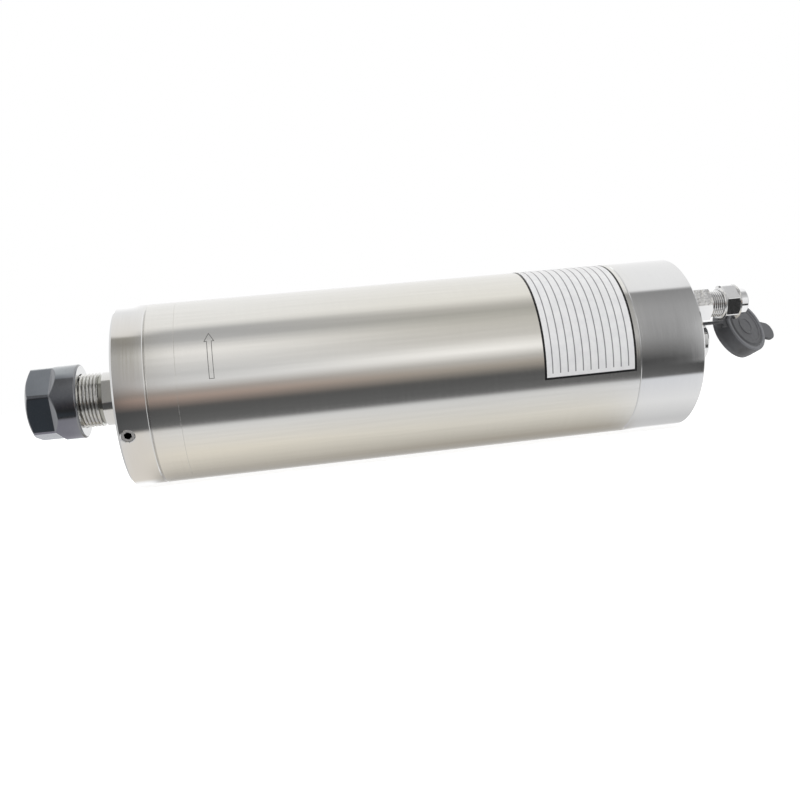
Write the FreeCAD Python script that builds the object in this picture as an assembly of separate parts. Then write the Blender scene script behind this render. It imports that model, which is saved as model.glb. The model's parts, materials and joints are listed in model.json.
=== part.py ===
import FreeCAD, Part
import math
import os
from FreeCAD import Vector

# Water-cooled motor spindle, lying along X with its tool end toward -X and +Z up.
# The origin is on the spindle's axis, in the middle of the sleeve that a clamp grips.
# All sizes are millimetres. An angle round the axis counts from -Y toward +Z.

# Body
body_diameter = 80.0
front_cap_length = 14.0
band_length = 12.0
sleeve_length = 199.0
rear_cover_length = 30.5
sleeve_wall = 3.0
front_seam_chamfer = 0.12
seam_chamfer = 0.35
rim_chamfer = 0.9

# Clearances
fit_gap = 0.04
running_gap = 0.06
free_gap = 0.3
cut_over = 1.0
small_chamfer = 0.5

# Front bearing housing and front cap
front_spigot_length = 22.0
front_cap_skirt = 10.0
neck_diameter = body_diameter - 2 * front_cap_skirt
front_cap_wall = 2.2
front_cap_bore = 36.0
housing_lip = 3.5
housing_lip_bore = 41.0
set_screw_diameter = 5.4
set_screw_count = 3
set_screw_setback = 4.1
set_screw_angle = -24.0
set_screw_hex = 3.0
set_screw_hex_depth = 2.6
set_screw_sink = 0.7
set_screw_countersink = 0.4

# Front bearings, an angular contact pair
front_bearing_bore = 25.0
front_bearing_outer = 47.0
front_bearing_width = 12.0
front_ball_diameter = 6.35
front_ball_count = 12
front_spacer_length = 4.0
front_clamp_length = 10.0
front_clamp_bore = 37.0

# Rear bearing housing and rear bearings
rear_spigot_length = 19.0
rear_register_length = 6.5
rear_lip = 3.5
rear_lip_bore = 25.0
disc_spring_height = 1.6
disc_spring_thickness = 0.6
disc_spring_bore = 24.0
rear_bearing_bore = 15.0
rear_bearing_outer = 32.0
rear_bearing_width = 9.0
rear_ball_diameter = 4.762
rear_ball_count = 10
retainer_flange_diameter = 42.0
retainer_flange_thickness = 2.5
retainer_bore = 26.5
retainer_screw_inset = 2.5
retainer_screw_circle = retainer_flange_diameter - 2 * retainer_screw_inset
retainer_screw_count = 3
retainer_screw_diameter = 2.5
retainer_screw_reach = 6.0
retainer_screw_head = 4.5
retainer_screw_head_height = 1.5

# Raceways and cages, shared by both bearing sizes
shoulder_share = 0.255
groove_clearance = 0.12
cage_thickness = 1.5
cage_end_share = 0.08
cage_window_reach = 2.0
groove_bands = 4
ball_divisions = 3

# Cooling jacket and stator
jacket_depth = 4.0
stator_diameter = body_diameter - 2 * (sleeve_wall + jacket_depth)
jacket_base_wall = 1.6
channel_count = 8
channel_rib_degrees = 7.0
channel_turn_length = 9.0
jacket_land_length = 9.0
seal_width = 2.2
seal_depth = 1.6
water_port_angle = 60.0
water_port_width = 6.0
water_port_length = 12.0
stator_front_room = 25.5
stator_rear_room = 22.5
stator_length = (sleeve_length - front_spigot_length - rear_spigot_length
                 - stator_front_room - stator_rear_room)
air_gap = 0.3
slot_count = 18
slot_mouth = 2.4
slot_lip = 1.1
stator_back_iron = 4.0
slot_inner_width = 4.2
slot_outer_width = 6.6
winding_front_overhang = 17.0
winding_rear_overhang = 15.0
winding_gap = 1.0
winding_clearance = 0.25
winding_bevel = 1.8

# Rotor and spindle shaft
rotor_diameter = 38.0
rotor_seat_diameter = 26.0
rotor_bar_count = 20
rotor_bar_diameter = 3.2
rotor_bar_circle = 33.0
rotor_end_ring_length = 6.0
rotor_end_ring_wall = 4.2
front_shoulder_diameter = 31.0
front_shoulder_length = 12.0
rear_step_diameter = 20.0
front_lock_nut_diameter = 35.4
front_lock_nut_inset = 0.4
front_lock_nut_foot = 1.5
rear_lock_nut_diameter = 24.0
rear_lock_nut_length = 5.0
rear_lock_nut_foot = 1.0
shaft_tail = 1.0

# Spindle nose
nose_diameter = 24.0
nose_overhang = 30.3
nose_thread_length = 19.1
nose_relief_length = 1.8
nose_relief_diameter = 21.6
nose_flats_across = 22.0
nose_flats_hidden = 1.0
nose_flats_margin = 2.0
nose_flats_angle = 16.0
taper_mouth = 20.4
taper_angle = 8.0
taper_length = 27.0
nose_bore = 12.0
nose_bore_length = 10.0
nose_bore_cone = 3.6

# Collet
collet_length = 31.5
collet_front_diameter = 17.2
collet_front_cone_length = 2.6
collet_front_cone_angle = 30.0
collet_land_length = 1.1
collet_groove_length = 2.6
collet_groove_diameter = 17.6
collet_diameter = 21.0
collet_bore = 6.0
collet_rear_bore = 8.0
collet_grip_length = 20.0
collet_slot_count = 8
collet_slot_width = 0.5
collet_slot_angle = 6.0
collet_front_slot_length = 25.0
collet_rear_slot_length = 22.0

# Collet nut
nut_diameter = 33.0
nut_length = 20.7
nut_hex_across = 29.0
nut_hex_length = 9.2
nut_hex_run_out_angle = 38.0
nut_ridge_angle = 12.5
nut_front_chamfer = 1.5
nut_rear_chamfer = 0.6
nut_front_set = 0.3
nut_groove_play = 0.4
nut_thread_end = 7.5

# Rear cover
cover_wall = 4.0
cover_rear_wall = 8.0
cover_boss_diameter = 10.0
cover_screw_count = 4
cover_screw_inset = 8.5
cover_screw_circle = body_diameter - 2 * cover_screw_inset
cover_screw_diameter = 4.0
cover_screw_head = 7.0
cover_screw_head_height = 4.0
cover_screw_hex = 3.0
cover_screw_reach = 10.0
wire_hole_diameter = 9.0
wire_hole_radius = 24.0
wire_hole_angle = 245.0

# Water fittings
fitting_inset = 11.321
fitting_angle = 33.1914
fitting_hex_across = 14.0
fitting_hex_length = 9.8
fitting_hex_angle = 55.0
fitting_thread_diameter = 12.0
fitting_thread_end = 18.7
fitting_stub_diameter = 10.0
fitting_bore = 4.0
fitting_nipple_diameter = 6.0
fitting_nipple_end = 24.7
fitting_cone_length = 2.2
fitting_thread_chamfer = 0.8
fitting_overlap = 1.0
fitting_nut_across = 14.0
fitting_nut_start = 15.6
fitting_nut_length = 7.8
fitting_nut_end_wall = 1.8
fitting_nut_angle = 10.0
hose_sleeve_diameter = 11.8
hose_sleeve_bore = 8.2
hose_sleeve_end = 28.1
hose_sleeve_neck = 9.4
hose_sleeve_flange = 10.8
hose_sleeve_flange_length = 1.4
water_tube_diameter = 6.0
water_tube_seat = 4.0

# Connector socket
socket_diameter = 23.0
socket_bore = 18.4
socket_height = 17.1
socket_flange_diameter = 28.0
socket_flange_thickness = 2.5
socket_insert_front = 9.0
socket_insert_back = 3.0
socket_rim_chamfer = 1.0
pin_count = 4
pin_diameter = 2.0
pin_circle = 9.0
pin_reach = 5.5
pin_tail = 3.0
pin_tip = 0.4
key_width = 2.4
key_height = 1.3
key_setback = 1.5
ring_nut_diameter = 26.4
ring_nut_height = 3.0
lead_wire_diameter = 1.8
lead_wire_turn = 4.0
lead_wire_spacing = 2.6
lead_wire_pins = (0, 3, 2)

# Dust cap on its rubber strap
cap_diameter = 26.8
cap_height = 8.0
cap_top = 2.0
cap_wall = 1.4
cap_strap_angle = 26.0
cap_open_angle = 63.5
cap_hinge_drop = 2.5
cap_hinge_reach = 14.4
cap_hinge_distance = 23.3
cap_tab_length = 7.2
cap_tab_width = 9.0
cap_tab_thickness = 1.8
cap_rim_width = 1.6
cap_rim_groove = 0.9
cap_rim_depth = 0.5
cap_edge = 0.5
strap_width = 6.0
strap_thickness = 1.4
strap_ring_thickness = 1.6
lug_radius = 0.8

# Places along the axis, worked out from the lengths above
body_radius = body_diameter / 2
sleeve_bore_radius = body_radius - sleeve_wall
sleeve_front = -sleeve_length / 2
sleeve_rear = sleeve_length / 2
band_front = sleeve_front - band_length
cap_front = band_front - front_cap_length
cover_rear = sleeve_rear + rear_cover_length
jacket_front = sleeve_front + front_spigot_length
jacket_rear = sleeve_rear - rear_spigot_length
neck_front = cap_front + front_cap_wall
front_shoulder_face = jacket_front - housing_lip
front_pair_length = 2 * front_bearing_width + front_spacer_length
front_pair_start = front_shoulder_face - front_pair_length
rear_pair_start = jacket_rear + rear_lip + disc_spring_height
rear_pair_end = rear_pair_start + 2 * rear_bearing_width
register_rear = sleeve_rear + rear_register_length
cover_inside = cover_rear - cover_rear_wall
stator_front = jacket_front + stator_front_room
stator_rear = stator_front + stator_length
stator_bore_radius = rotor_diameter / 2 + air_gap
slot_bottom = stator_bore_radius + slot_lip
slot_top = stator_diameter / 2 - stator_back_iron
nose_front = cap_front - nose_overhang
collet_shoulder_gap = (collet_diameter - taper_mouth) / 2 / math.tan(math.radians(taper_angle))
collet_head = collet_front_cone_length + collet_land_length + collet_groove_length
collet_front = nose_front - collet_shoulder_gap - collet_head
nut_front = collet_front - nut_front_set
nut_rear = nut_front + nut_length
hinge_x = cover_rear + cap_hinge_distance
channel_floor = stator_diameter / 2 + jacket_base_wall
front_seal = jacket_front + jacket_land_length / 2
rear_seal = (jacket_rear + water_port_length + sleeve_rear) / 2
wire_end = cover_inside - socket_insert_back - pin_tail


def polar(radius, degrees):
    """The y and z of a point at a radius and an angle from -Y toward +Z."""
    turn = math.radians(degrees)
    return -radius * math.cos(turn), radius * math.sin(turn)


def turned(profile):
    """A solid of revolution about X from corners given as (x, radius)."""
    corners = [Vector(x, 0, radius) for x, radius in profile]
    face = Part.Face(Part.makePolygon(corners + corners[:1]))
    solid = face.revolve(Vector(0, 0, 0), Vector(1, 0, 0), 360)
    if solid.Volume < 0:
        solid.reverse()
    return solid


def tube(start, end, inner, outer):
    """A plain tube about X between two radii."""
    return turned([(start, inner), (end, inner), (end, outer), (start, outer)])


def rod(start, end, radius, y=0.0, z=0.0):
    """A round bar along X at a place across the axis."""
    return Part.makeCylinder(radius, end - start, Vector(start, y, z), Vector(1, 0, 0))


def prism(start, end, outline):
    """A straight bar along X whose section is a list of (y, z) corners."""
    corners = [Vector(start, y, z) for y, z in outline]
    face = Part.Face(Part.makePolygon(corners + corners[:1]))
    return face.extrude(Vector(end - start, 0, 0))


def block(start, end, low, high, width):
    """A box along X between two heights, centred across."""
    half = width / 2
    return prism(start, end, [(-half, low), (half, low), (half, high), (-half, high)])


def hexagon(start, end, across, corner_angle, y=0.0, z=0.0):
    """A hexagonal bar along X, with one corner at an angle round its own axis."""
    corner_radius = across / math.sqrt(3)
    outline = []
    for step in range(6):
        side, rise = polar(corner_radius, corner_angle + 60 * step)
        outline.append((y + side, z + rise))
    return prism(start, end, outline)


def spun(shape, degrees):
    """A copy of a shape turned about the spindle's axis, from -Y toward +Z."""
    copy = shape.copy()
    copy.rotate(Vector(0, 0, 0), Vector(1, 0, 0), -degrees)
    return copy


def patterned(shape, count, first=0.0):
    """Copies of a shape spread evenly round the axis."""
    return [spun(shape, first + 360.0 * step / count) for step in range(count)]


def outward(shape, x, degrees):
    """A copy of a shape built along X, turned to point away from the axis at a place on it."""
    side, rise = polar(1.0, degrees)
    turn = FreeCAD.Rotation(Vector(1, 0, 0), Vector(0, side, rise))
    copy = shape.copy()
    copy.Placement = FreeCAD.Placement(Vector(x, 0, 0), turn).multiply(copy.Placement)
    return copy


def moved(shape, y, z):
    """A copy of a shape shifted across the axis."""
    copy = shape.copy()
    copy.translate(Vector(0, y, z))
    return copy


def joined(shapes):
    """One solid from several that meet."""
    return shapes[0].fuse(shapes[1:]).removeSplitter()


def save(name, solids):
    """Write one sub-part, made of one solid or of a group of equal ones."""
    shape = solids[0] if len(solids) == 1 else Part.makeCompound(solids)
    shape.exportStep("parts/" + name + ".step")


def outer_sleeve():
    """The long tube that a clamp grips, with broken edges at both seams."""
    return turned([
        (sleeve_front, sleeve_bore_radius),
        (sleeve_rear, sleeve_bore_radius),
        (sleeve_rear, body_radius - seam_chamfer),
        (sleeve_rear - seam_chamfer, body_radius),
        (sleeve_front + front_seam_chamfer, body_radius),
        (sleeve_front, body_radius - front_seam_chamfer),
    ])


def seal_groove(middle, gap=0.0):
    """The ring that fills a seal groove, or the groove's own space without a gap."""
    outer = sleeve_bore_radius - fit_gap
    return tube(middle - seal_width / 2 + gap, middle + seal_width / 2 - gap,
                outer - seal_depth + gap, outer if gap else body_radius)


def water_seals():
    """Two square rings that keep the water between the jacket and the sleeve."""
    return [seal_groove(front_seal, fit_gap), seal_groove(rear_seal, fit_gap)]


def port_notch(start, end, angle):
    """A notch along the outside through which water reaches the channels."""
    half = water_port_width / 2
    outline = [(-channel_floor, -half), (-channel_floor, half),
               (-body_radius, half), (-body_radius, -half)]
    return spun(prism(start, end, outline), angle)


def cooling_jacket():
    """The ribbed tube whose long channels carry water up and down round the stator."""
    outer = sleeve_bore_radius - fit_gap
    inner = stator_diameter / 2 + fit_gap
    rib_start = jacket_front + jacket_land_length
    rib_end = jacket_rear - jacket_land_length
    pieces = [
        tube(jacket_front, jacket_rear, inner, channel_floor),
        tube(jacket_front, rib_start, inner, outer),
        tube(rib_end, jacket_rear, inner, outer),
    ]
    ring = tube(rib_start, rib_end, inner, outer)
    spread = body_radius * math.tan(math.radians(channel_rib_degrees / 2))
    for step in range(channel_count):
        start = rib_start
        end = rib_end
        if step % 2 == 1:
            start = rib_start + channel_turn_length
        elif step > 0:
            end = rib_end - channel_turn_length
        blade = prism(start, end, [(0, 0), (-body_radius, -spread), (-body_radius, spread)])
        pieces.append(spun(blade.common(ring), 90.0 + 360.0 * step / channel_count))
    jacket = joined(pieces).cut(seal_groove(front_seal))
    for angle in port_angles():
        jacket = jacket.cut(port_notch(rib_end - cut_over, jacket_rear + cut_over, angle))
    return jacket


def front_bearing_housing():
    """The visible band, the spigot in the sleeve and the neck that the front cap goes on."""
    seat = front_bearing_outer / 2 + fit_gap
    return turned([
        (neck_front, seat),
        (front_shoulder_face, seat),
        (front_shoulder_face, housing_lip_bore / 2),
        (jacket_front, housing_lip_bore / 2),
        (jacket_front, sleeve_bore_radius - fit_gap),
        (sleeve_front, sleeve_bore_radius - fit_gap),
        (sleeve_front, body_radius - front_seam_chamfer),
        (sleeve_front - front_seam_chamfer, body_radius),
        (band_front + seam_chamfer, body_radius),
        (band_front, body_radius - seam_chamfer),
        (band_front, neck_diameter / 2),
        (neck_front, neck_diameter / 2),
    ])


def set_screw_places():
    """The angles of the screws that lock the front cap."""
    return [set_screw_angle + 360.0 * step / set_screw_count for step in range(set_screw_count)]


def front_end_cap():
    """The short cap over the housing's neck, with three radial screw holes."""
    cap = turned([
        (cap_front, front_cap_bore / 2),
        (neck_front, front_cap_bore / 2),
        (neck_front, neck_diameter / 2 + fit_gap),
        (band_front, neck_diameter / 2 + fit_gap),
        (band_front, body_radius - rim_chamfer),
        (band_front - rim_chamfer, body_radius),
        (cap_front + rim_chamfer, body_radius),
        (cap_front, body_radius - rim_chamfer),
    ])
    x = cap_front + set_screw_setback
    hole_radius = set_screw_diameter / 2 + fit_gap
    hole = turned([
        (neck_diameter / 4, 0),
        (body_radius + cut_over, 0),
        (body_radius + cut_over, hole_radius + set_screw_countersink + cut_over),
        (body_radius - set_screw_countersink, hole_radius),
        (neck_diameter / 4, hole_radius),
    ])
    for angle in set_screw_places():
        cap = cap.cut(outward(hole, x, angle))
    return cap


def front_cap_set_screws():
    """Hex-socket screws without heads, a little below the cap's surface."""
    top = body_radius - set_screw_sink
    screw = rod(neck_diameter / 2 + fit_gap, top, set_screw_diameter / 2)
    screw = screw.cut(hexagon(top - set_screw_hex_depth, top + cut_over, set_screw_hex, 0))
    x = cap_front + set_screw_setback
    return [outward(screw, x, angle) for angle in set_screw_places()]


def race_ring(start, width, seat, shoulder, ball_radius, ball_circle):
    """One bearing ring, with its ball groove turned as a few cone bands."""
    reach = ball_radius + groove_clearance
    side = 1 if shoulder > ball_circle else -1
    spread = math.acos(abs(shoulder - ball_circle) / reach)
    band = 2 * spread / groove_bands
    groove = []
    for step in range(groove_bands + 1):
        angle = spread - band * step
        at_edge = step in (0, groove_bands)
        depth = reach if at_edge else reach / math.cos(band / 2)
        groove.append((start + width / 2 + depth * math.sin(angle),
                       ball_circle + side * depth * math.cos(angle)))
    return turned([(start, shoulder), (start, seat), (start + width, seat),
                   (start + width, shoulder)] + groove)


def bearing_sizes(bore, outer, ball_diameter):
    """Ball circle and the radii of the two shoulders of a bearing."""
    ball_circle = (bore + outer) / 4
    reach = (outer - bore) / 2 * shoulder_share
    return ball_circle, bore / 2 + reach, outer / 2 - reach


def bearing_places():
    """Start, width, bore, outer and ball diameter of each of the four bearings."""
    front = (front_bearing_width, front_bearing_bore, front_bearing_outer, front_ball_diameter)
    rear = (rear_bearing_width, rear_bearing_bore, rear_bearing_outer, rear_ball_diameter)
    return [
        (front_pair_start,) + front,
        (front_shoulder_face - front_bearing_width,) + front,
        (rear_pair_start,) + rear,
        (rear_pair_start + rear_bearing_width,) + rear,
    ]


def outer_rings(places):
    """The bearings' outer rings."""
    rings = []
    for start, width, bore, outer, ball in places:
        circle, _, shoulder = bearing_sizes(bore, outer, ball)
        rings.append(race_ring(start, width, outer / 2, shoulder, ball / 2, circle))
    return rings


def inner_rings(places):
    """The bearings' inner rings."""
    rings = []
    for start, width, bore, outer, ball in places:
        circle, shoulder, _ = bearing_sizes(bore, outer, ball)
        seat = bore / 2 + fit_gap
        rings.append(race_ring(start, width, seat, shoulder, ball / 2, circle))
    return rings


def bearing_ball(radius, centre):
    """A ball with many small flats, so that a whole set stays light."""
    faces = []
    for octant in range(8):
        signs = [1 if octant & bit else -1 for bit in (1, 2, 4)]

        def corner(first, second):
            parts = (first, second, ball_divisions - first - second)
            direction = Vector(*[sign * part for sign, part in zip(signs, parts)])
            return centre + direction.normalize() * radius

        for first in range(ball_divisions):
            for second in range(ball_divisions - first):
                low = corner(first, second)
                right = corner(first + 1, second)
                left = corner(first, second + 1)
                faces.append(Part.Face(Part.makePolygon([low, right, left, low])))
                if first + second < ball_divisions - 1:
                    far = corner(first + 1, second + 1)
                    faces.append(Part.Face(Part.makePolygon([right, far, left, right])))
    ball = Part.makeSolid(Part.makeShell(faces))
    if ball.Volume < 0:
        ball.reverse()
    return ball


def ball_sets(places, count):
    """The balls of some bearings."""
    balls = []
    for start, width, bore, outer, ball in places:
        side, rise = polar(bearing_sizes(bore, outer, ball)[0], 0)
        one = bearing_ball(ball / 2, Vector(start + width / 2, side, rise))
        balls += patterned(one, count)
    return balls


def cages(places, count):
    """The rings that keep the balls apart, with one window for each ball."""
    rings = []
    for start, width, bore, outer, ball in places:
        circle = bearing_sizes(bore, outer, ball)[0]
        half = cage_thickness / 2
        edge = cage_end_share * width
        ring = tube(start + edge, start + width - edge, circle - half, circle + half)
        reach = ball / 2 + groove_clearance
        middle = start + width / 2
        window = prism(middle - reach, middle + reach, [
            (-circle + cage_window_reach, -reach), (-circle + cage_window_reach, reach),
            (-circle - cage_window_reach, reach), (-circle - cage_window_reach, -reach)])
        for cut in patterned(window, count):
            ring = ring.cut(cut)
        rings.append(ring)
    return rings


def front_outer_spacer():
    """The ring between the outer rings of the front pair."""
    start = front_pair_start + front_bearing_width
    shoulder = bearing_sizes(front_bearing_bore, front_bearing_outer, front_ball_diameter)[2]
    return tube(start, start + front_spacer_length, shoulder, front_bearing_outer / 2)


def front_inner_spacer():
    """The ring between the inner rings of the front pair."""
    start = front_pair_start + front_bearing_width
    shoulder = bearing_sizes(front_bearing_bore, front_bearing_outer, front_ball_diameter)[1]
    return tube(start, start + front_spacer_length, front_bearing_bore / 2 + fit_gap, shoulder)


def front_clamp_ring():
    """The threaded ring that holds the front outer rings in the housing."""
    return tube(front_pair_start - front_clamp_length, front_pair_start,
                front_clamp_bore / 2, front_bearing_outer / 2)


def front_lock_nut():
    """The nut on the shaft that clamps the inner rings and fills the cap's bore."""
    outer = front_lock_nut_diameter / 2
    inner = front_bearing_bore / 2 + fit_gap
    shoulder = bearing_sizes(front_bearing_bore, front_bearing_outer, front_ball_diameter)[1]
    foot = front_pair_start - front_lock_nut_foot
    start = cap_front + front_lock_nut_inset
    return turned([
        (start, inner),
        (front_pair_start, inner),
        (front_pair_start, shoulder),
        (foot, shoulder),
        (foot, outer),
        (start + small_chamfer, outer),
        (start, outer - small_chamfer),
    ])


def fitting_places():
    """The two water fittings, one each side of the top."""
    radius = body_radius - fitting_inset
    return [polar(radius, fitting_angle), polar(radius, 180 - fitting_angle)]


def port_angles():
    """Where the cross drillings meet the notches, round the axis."""
    return water_port_angle, 180 - water_port_angle


def rear_bearing_housing():
    """The rear plug of the sleeve, with the bearing seat and the water drillings."""
    seat = rear_bearing_outer / 2 + fit_gap
    outer = sleeve_bore_radius - fit_gap
    housing = turned([
        (jacket_rear, rear_lip_bore / 2),
        (jacket_rear + rear_lip, rear_lip_bore / 2),
        (jacket_rear + rear_lip, seat),
        (register_rear, seat),
        (register_rear, body_radius - cover_wall - fit_gap),
        (sleeve_rear, body_radius - cover_wall - fit_gap),
        (sleeve_rear, outer),
        (jacket_rear, outer),
    ])
    housing = housing.cut(seal_groove(rear_seal))
    drill_x = jacket_rear + water_port_length - water_port_width / 2
    tube_radius = water_tube_diameter / 2 + fit_gap
    for (side, rise), angle in zip(fitting_places(), port_angles()):
        end = jacket_rear + water_port_length
        housing = housing.cut(port_notch(jacket_rear - cut_over, end, angle))
        housing = housing.cut(rod(drill_x, register_rear + cut_over, fitting_bore / 2, side, rise))
        seat_start = register_rear - water_tube_seat
        housing = housing.cut(rod(seat_start, register_rear + cut_over, tube_radius, side, rise))
        port_side, port_rise = polar(body_radius, angle)
        path = Vector(0, port_side - side, port_rise - rise)
        drill = Part.makeCylinder(fitting_bore / 2, path.Length, Vector(drill_x, side, rise), path)
        housing = housing.cut(drill)
    side, rise = polar(wire_hole_radius, wire_hole_angle)
    housing = housing.cut(rod(jacket_rear - cut_over, register_rear + cut_over,
                              wire_hole_diameter / 2, side, rise))
    for side, rise in cover_screw_places():
        start = register_rear - cover_screw_reach
        housing = housing.cut(rod(start, register_rear + cut_over,
                                  cover_screw_diameter / 2 + fit_gap, side, rise))
    for side, rise in retainer_screw_places():
        start = register_rear - retainer_screw_reach
        housing = housing.cut(rod(start, register_rear + cut_over,
                                  retainer_screw_diameter / 2 + fit_gap, side, rise))
    return housing


def retainer_screw_places():
    """The small screws that hold the rear bearing retainer."""
    return [polar(retainer_screw_circle / 2, 90 + 360.0 * step / retainer_screw_count)
            for step in range(retainer_screw_count)]


def disc_spring():
    """The conical washer that pushes the rear outer rings backward."""
    start = jacket_rear + rear_lip
    end = start + disc_spring_height
    outer = rear_bearing_outer / 2 - free_gap
    inner = disc_spring_bore / 2
    return turned([(start, inner), (start + disc_spring_thickness, inner), (end, outer),
                   (end - disc_spring_thickness, outer)])


def rear_bearing_retainer():
    """The flanged ring that closes the rear bearing seat."""
    flange_end = register_rear + retainer_flange_thickness
    ring = turned([
        (rear_pair_end, retainer_bore / 2),
        (flange_end, retainer_bore / 2),
        (flange_end, retainer_flange_diameter / 2),
        (register_rear, retainer_flange_diameter / 2),
        (register_rear, rear_bearing_outer / 2),
        (rear_pair_end, rear_bearing_outer / 2),
    ])
    for side, rise in retainer_screw_places():
        ring = ring.cut(rod(register_rear - cut_over, flange_end + cut_over,
                            retainer_screw_diameter / 2 + fit_gap, side, rise))
    return ring


def retainer_screws():
    """Three small screws with flat round heads."""
    start = register_rear - retainer_screw_reach
    under_head = register_rear + retainer_flange_thickness
    head_end = under_head + retainer_screw_head_height
    screws = []
    for side, rise in retainer_screw_places():
        shank = rod(start, head_end, retainer_screw_diameter / 2, side, rise)
        head = rod(under_head, head_end, retainer_screw_head / 2, side, rise)
        screws.append(joined([shank, head]))
    return screws


def slot_outline(clearance):
    """A stator slot, open to the bore, or its winding where a clearance is given."""
    bottom = slot_bottom + clearance
    top = slot_top - clearance
    inner = slot_inner_width / 2 - clearance
    outer = slot_outer_width / 2 - clearance
    body = [(-bottom, inner), (-top, outer), (-top, -outer), (-bottom, -inner)]
    if clearance:
        return body
    mouth = slot_mouth / 2
    inside = stator_bore_radius - cut_over
    return [(-bottom, mouth)] + body + [(-bottom, -mouth), (-inside, -mouth), (-inside, mouth)]


def stator_core():
    """The laminated ring with its slots, modelled as one stack."""
    core = tube(stator_front, stator_rear, stator_bore_radius, stator_diameter / 2)
    slot = prism(stator_front - cut_over, stator_rear + cut_over, slot_outline(0))
    for cut in patterned(slot, slot_count):
        core = core.cut(cut)
    return core


def winding_head(start, end):
    """The bundled turns of copper beyond one end of the core, bevelled at the far end."""
    inner = slot_bottom + winding_clearance
    outer = slot_top - winding_clearance
    bevel = winding_bevel if end > start else -winding_bevel
    return turned([
        (start, inner), (end - bevel, inner), (end, inner + winding_bevel),
        (end, outer - winding_bevel), (end - bevel, outer), (start, outer)])


def stator_windings():
    """The copper in the slots and the two heads that join it."""
    front_start = stator_front - winding_gap
    rear_start = stator_rear + winding_gap
    heads = [
        winding_head(front_start, stator_front - winding_front_overhang),
        winding_head(rear_start, stator_rear + winding_rear_overhang),
    ]
    bar = prism(front_start - winding_bevel, rear_start + winding_bevel,
                slot_outline(winding_clearance))
    return joined(heads + patterned(bar, slot_count))


def taper_radius(distance):
    """The collet seat's radius at a distance behind the nose's face."""
    return taper_mouth / 2 - distance * math.tan(math.radians(taper_angle))


def spindle_shaft():
    """The stepped shaft from the collet taper to the rear lock nut's thread."""
    nose = nose_diameter / 2
    relief_start = nose_front + nose_thread_length
    relief_end = relief_start + nose_relief_length
    seat_front = cap_front + front_lock_nut_inset
    shoulder_end = front_shoulder_face + front_shoulder_length
    rotor_end = stator_rear + rotor_end_ring_length
    shaft_end = rear_pair_end + rear_lock_nut_length + shaft_tail
    taper_end = nose_front + taper_length
    bore_end = taper_end + nose_bore_length
    seat = front_bearing_bore / 2
    shaft = turned([
        (nose_front, taper_radius(0)),
        (taper_end, taper_radius(taper_length)),
        (taper_end, nose_bore / 2),
        (bore_end, nose_bore / 2),
        (bore_end + nose_bore_cone, 0),
        (shaft_end, 0),
        (shaft_end, rear_bearing_bore / 2 - small_chamfer),
        (shaft_end - small_chamfer, rear_bearing_bore / 2),
        (rear_pair_start, rear_bearing_bore / 2),
        (rear_pair_start, rear_step_diameter / 2),
        (rotor_end, rear_step_diameter / 2),
        (rotor_end, rotor_seat_diameter / 2),
        (shoulder_end, rotor_seat_diameter / 2),
        (shoulder_end, front_shoulder_diameter / 2),
        (front_shoulder_face, front_shoulder_diameter / 2),
        (front_shoulder_face, seat),
        (seat_front, seat),
        (seat_front, nose),
        (relief_end, nose),
        (relief_end, nose_relief_diameter / 2),
        (relief_start, nose_relief_diameter / 2),
        (relief_start, nose),
        (nose_front + small_chamfer, nose),
        (nose_front, nose - small_chamfer),
    ])
    flats_start = nut_rear - nose_flats_hidden
    flats_end = cap_front - nose_flats_margin
    half = nose_flats_across / 2
    for side in (-1, 1):
        outline = [(side * half, -nose), (side * half, nose),
                   (side * 2 * nose, nose), (side * 2 * nose, -nose)]
        shaft = shaft.cut(spun(prism(flats_start, flats_end, outline), nose_flats_angle))
    return shaft


def rotor_bars(radius):
    """Round bars through the rotor, near its surface."""
    side, rise = polar(rotor_bar_circle / 2, 0)
    overlap = rotor_end_ring_length / 2
    return patterned(rod(stator_front - overlap, stator_rear + overlap, radius, side, rise),
                     rotor_bar_count)


def rotor_core():
    """The rotor's laminations, with a hole for each bar."""
    core = tube(stator_front, stator_rear, rotor_seat_diameter / 2 + fit_gap, rotor_diameter / 2)
    for bar in rotor_bars(rotor_bar_diameter / 2 + fit_gap):
        core = core.cut(bar)
    return core


def rotor_cage():
    """Bars and end rings that carry the rotor's current."""
    middle = rotor_bar_circle / 2
    inner = middle - rotor_end_ring_wall / 2
    outer = middle + rotor_end_ring_wall / 2
    rings = [
        tube(stator_front - rotor_end_ring_length, stator_front, inner, outer),
        tube(stator_rear, stator_rear + rotor_end_ring_length, inner, outer),
    ]
    return joined(rings + rotor_bars(rotor_bar_diameter / 2))


def rear_lock_nut():
    """The nut that clamps the rear inner rings."""
    inner = rear_bearing_bore / 2 + fit_gap
    shoulder = bearing_sizes(rear_bearing_bore, rear_bearing_outer, rear_ball_diameter)[1]
    outer = rear_lock_nut_diameter / 2
    foot = rear_pair_end + rear_lock_nut_foot
    end = rear_pair_end + rear_lock_nut_length
    return turned([
        (rear_pair_end, inner),
        (end, inner),
        (end, outer),
        (foot, outer),
        (foot, shoulder),
        (rear_pair_end, shoulder),
    ])


def collet_slots(start, end, first):
    """Narrow radial cuts through the collet's wall."""
    half = collet_slot_width / 2
    cut = prism(start, end, [(0, -half), (0, half), (-collet_diameter, half),
                             (-collet_diameter, -half)])
    return patterned(cut, collet_slot_count, first)


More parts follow.
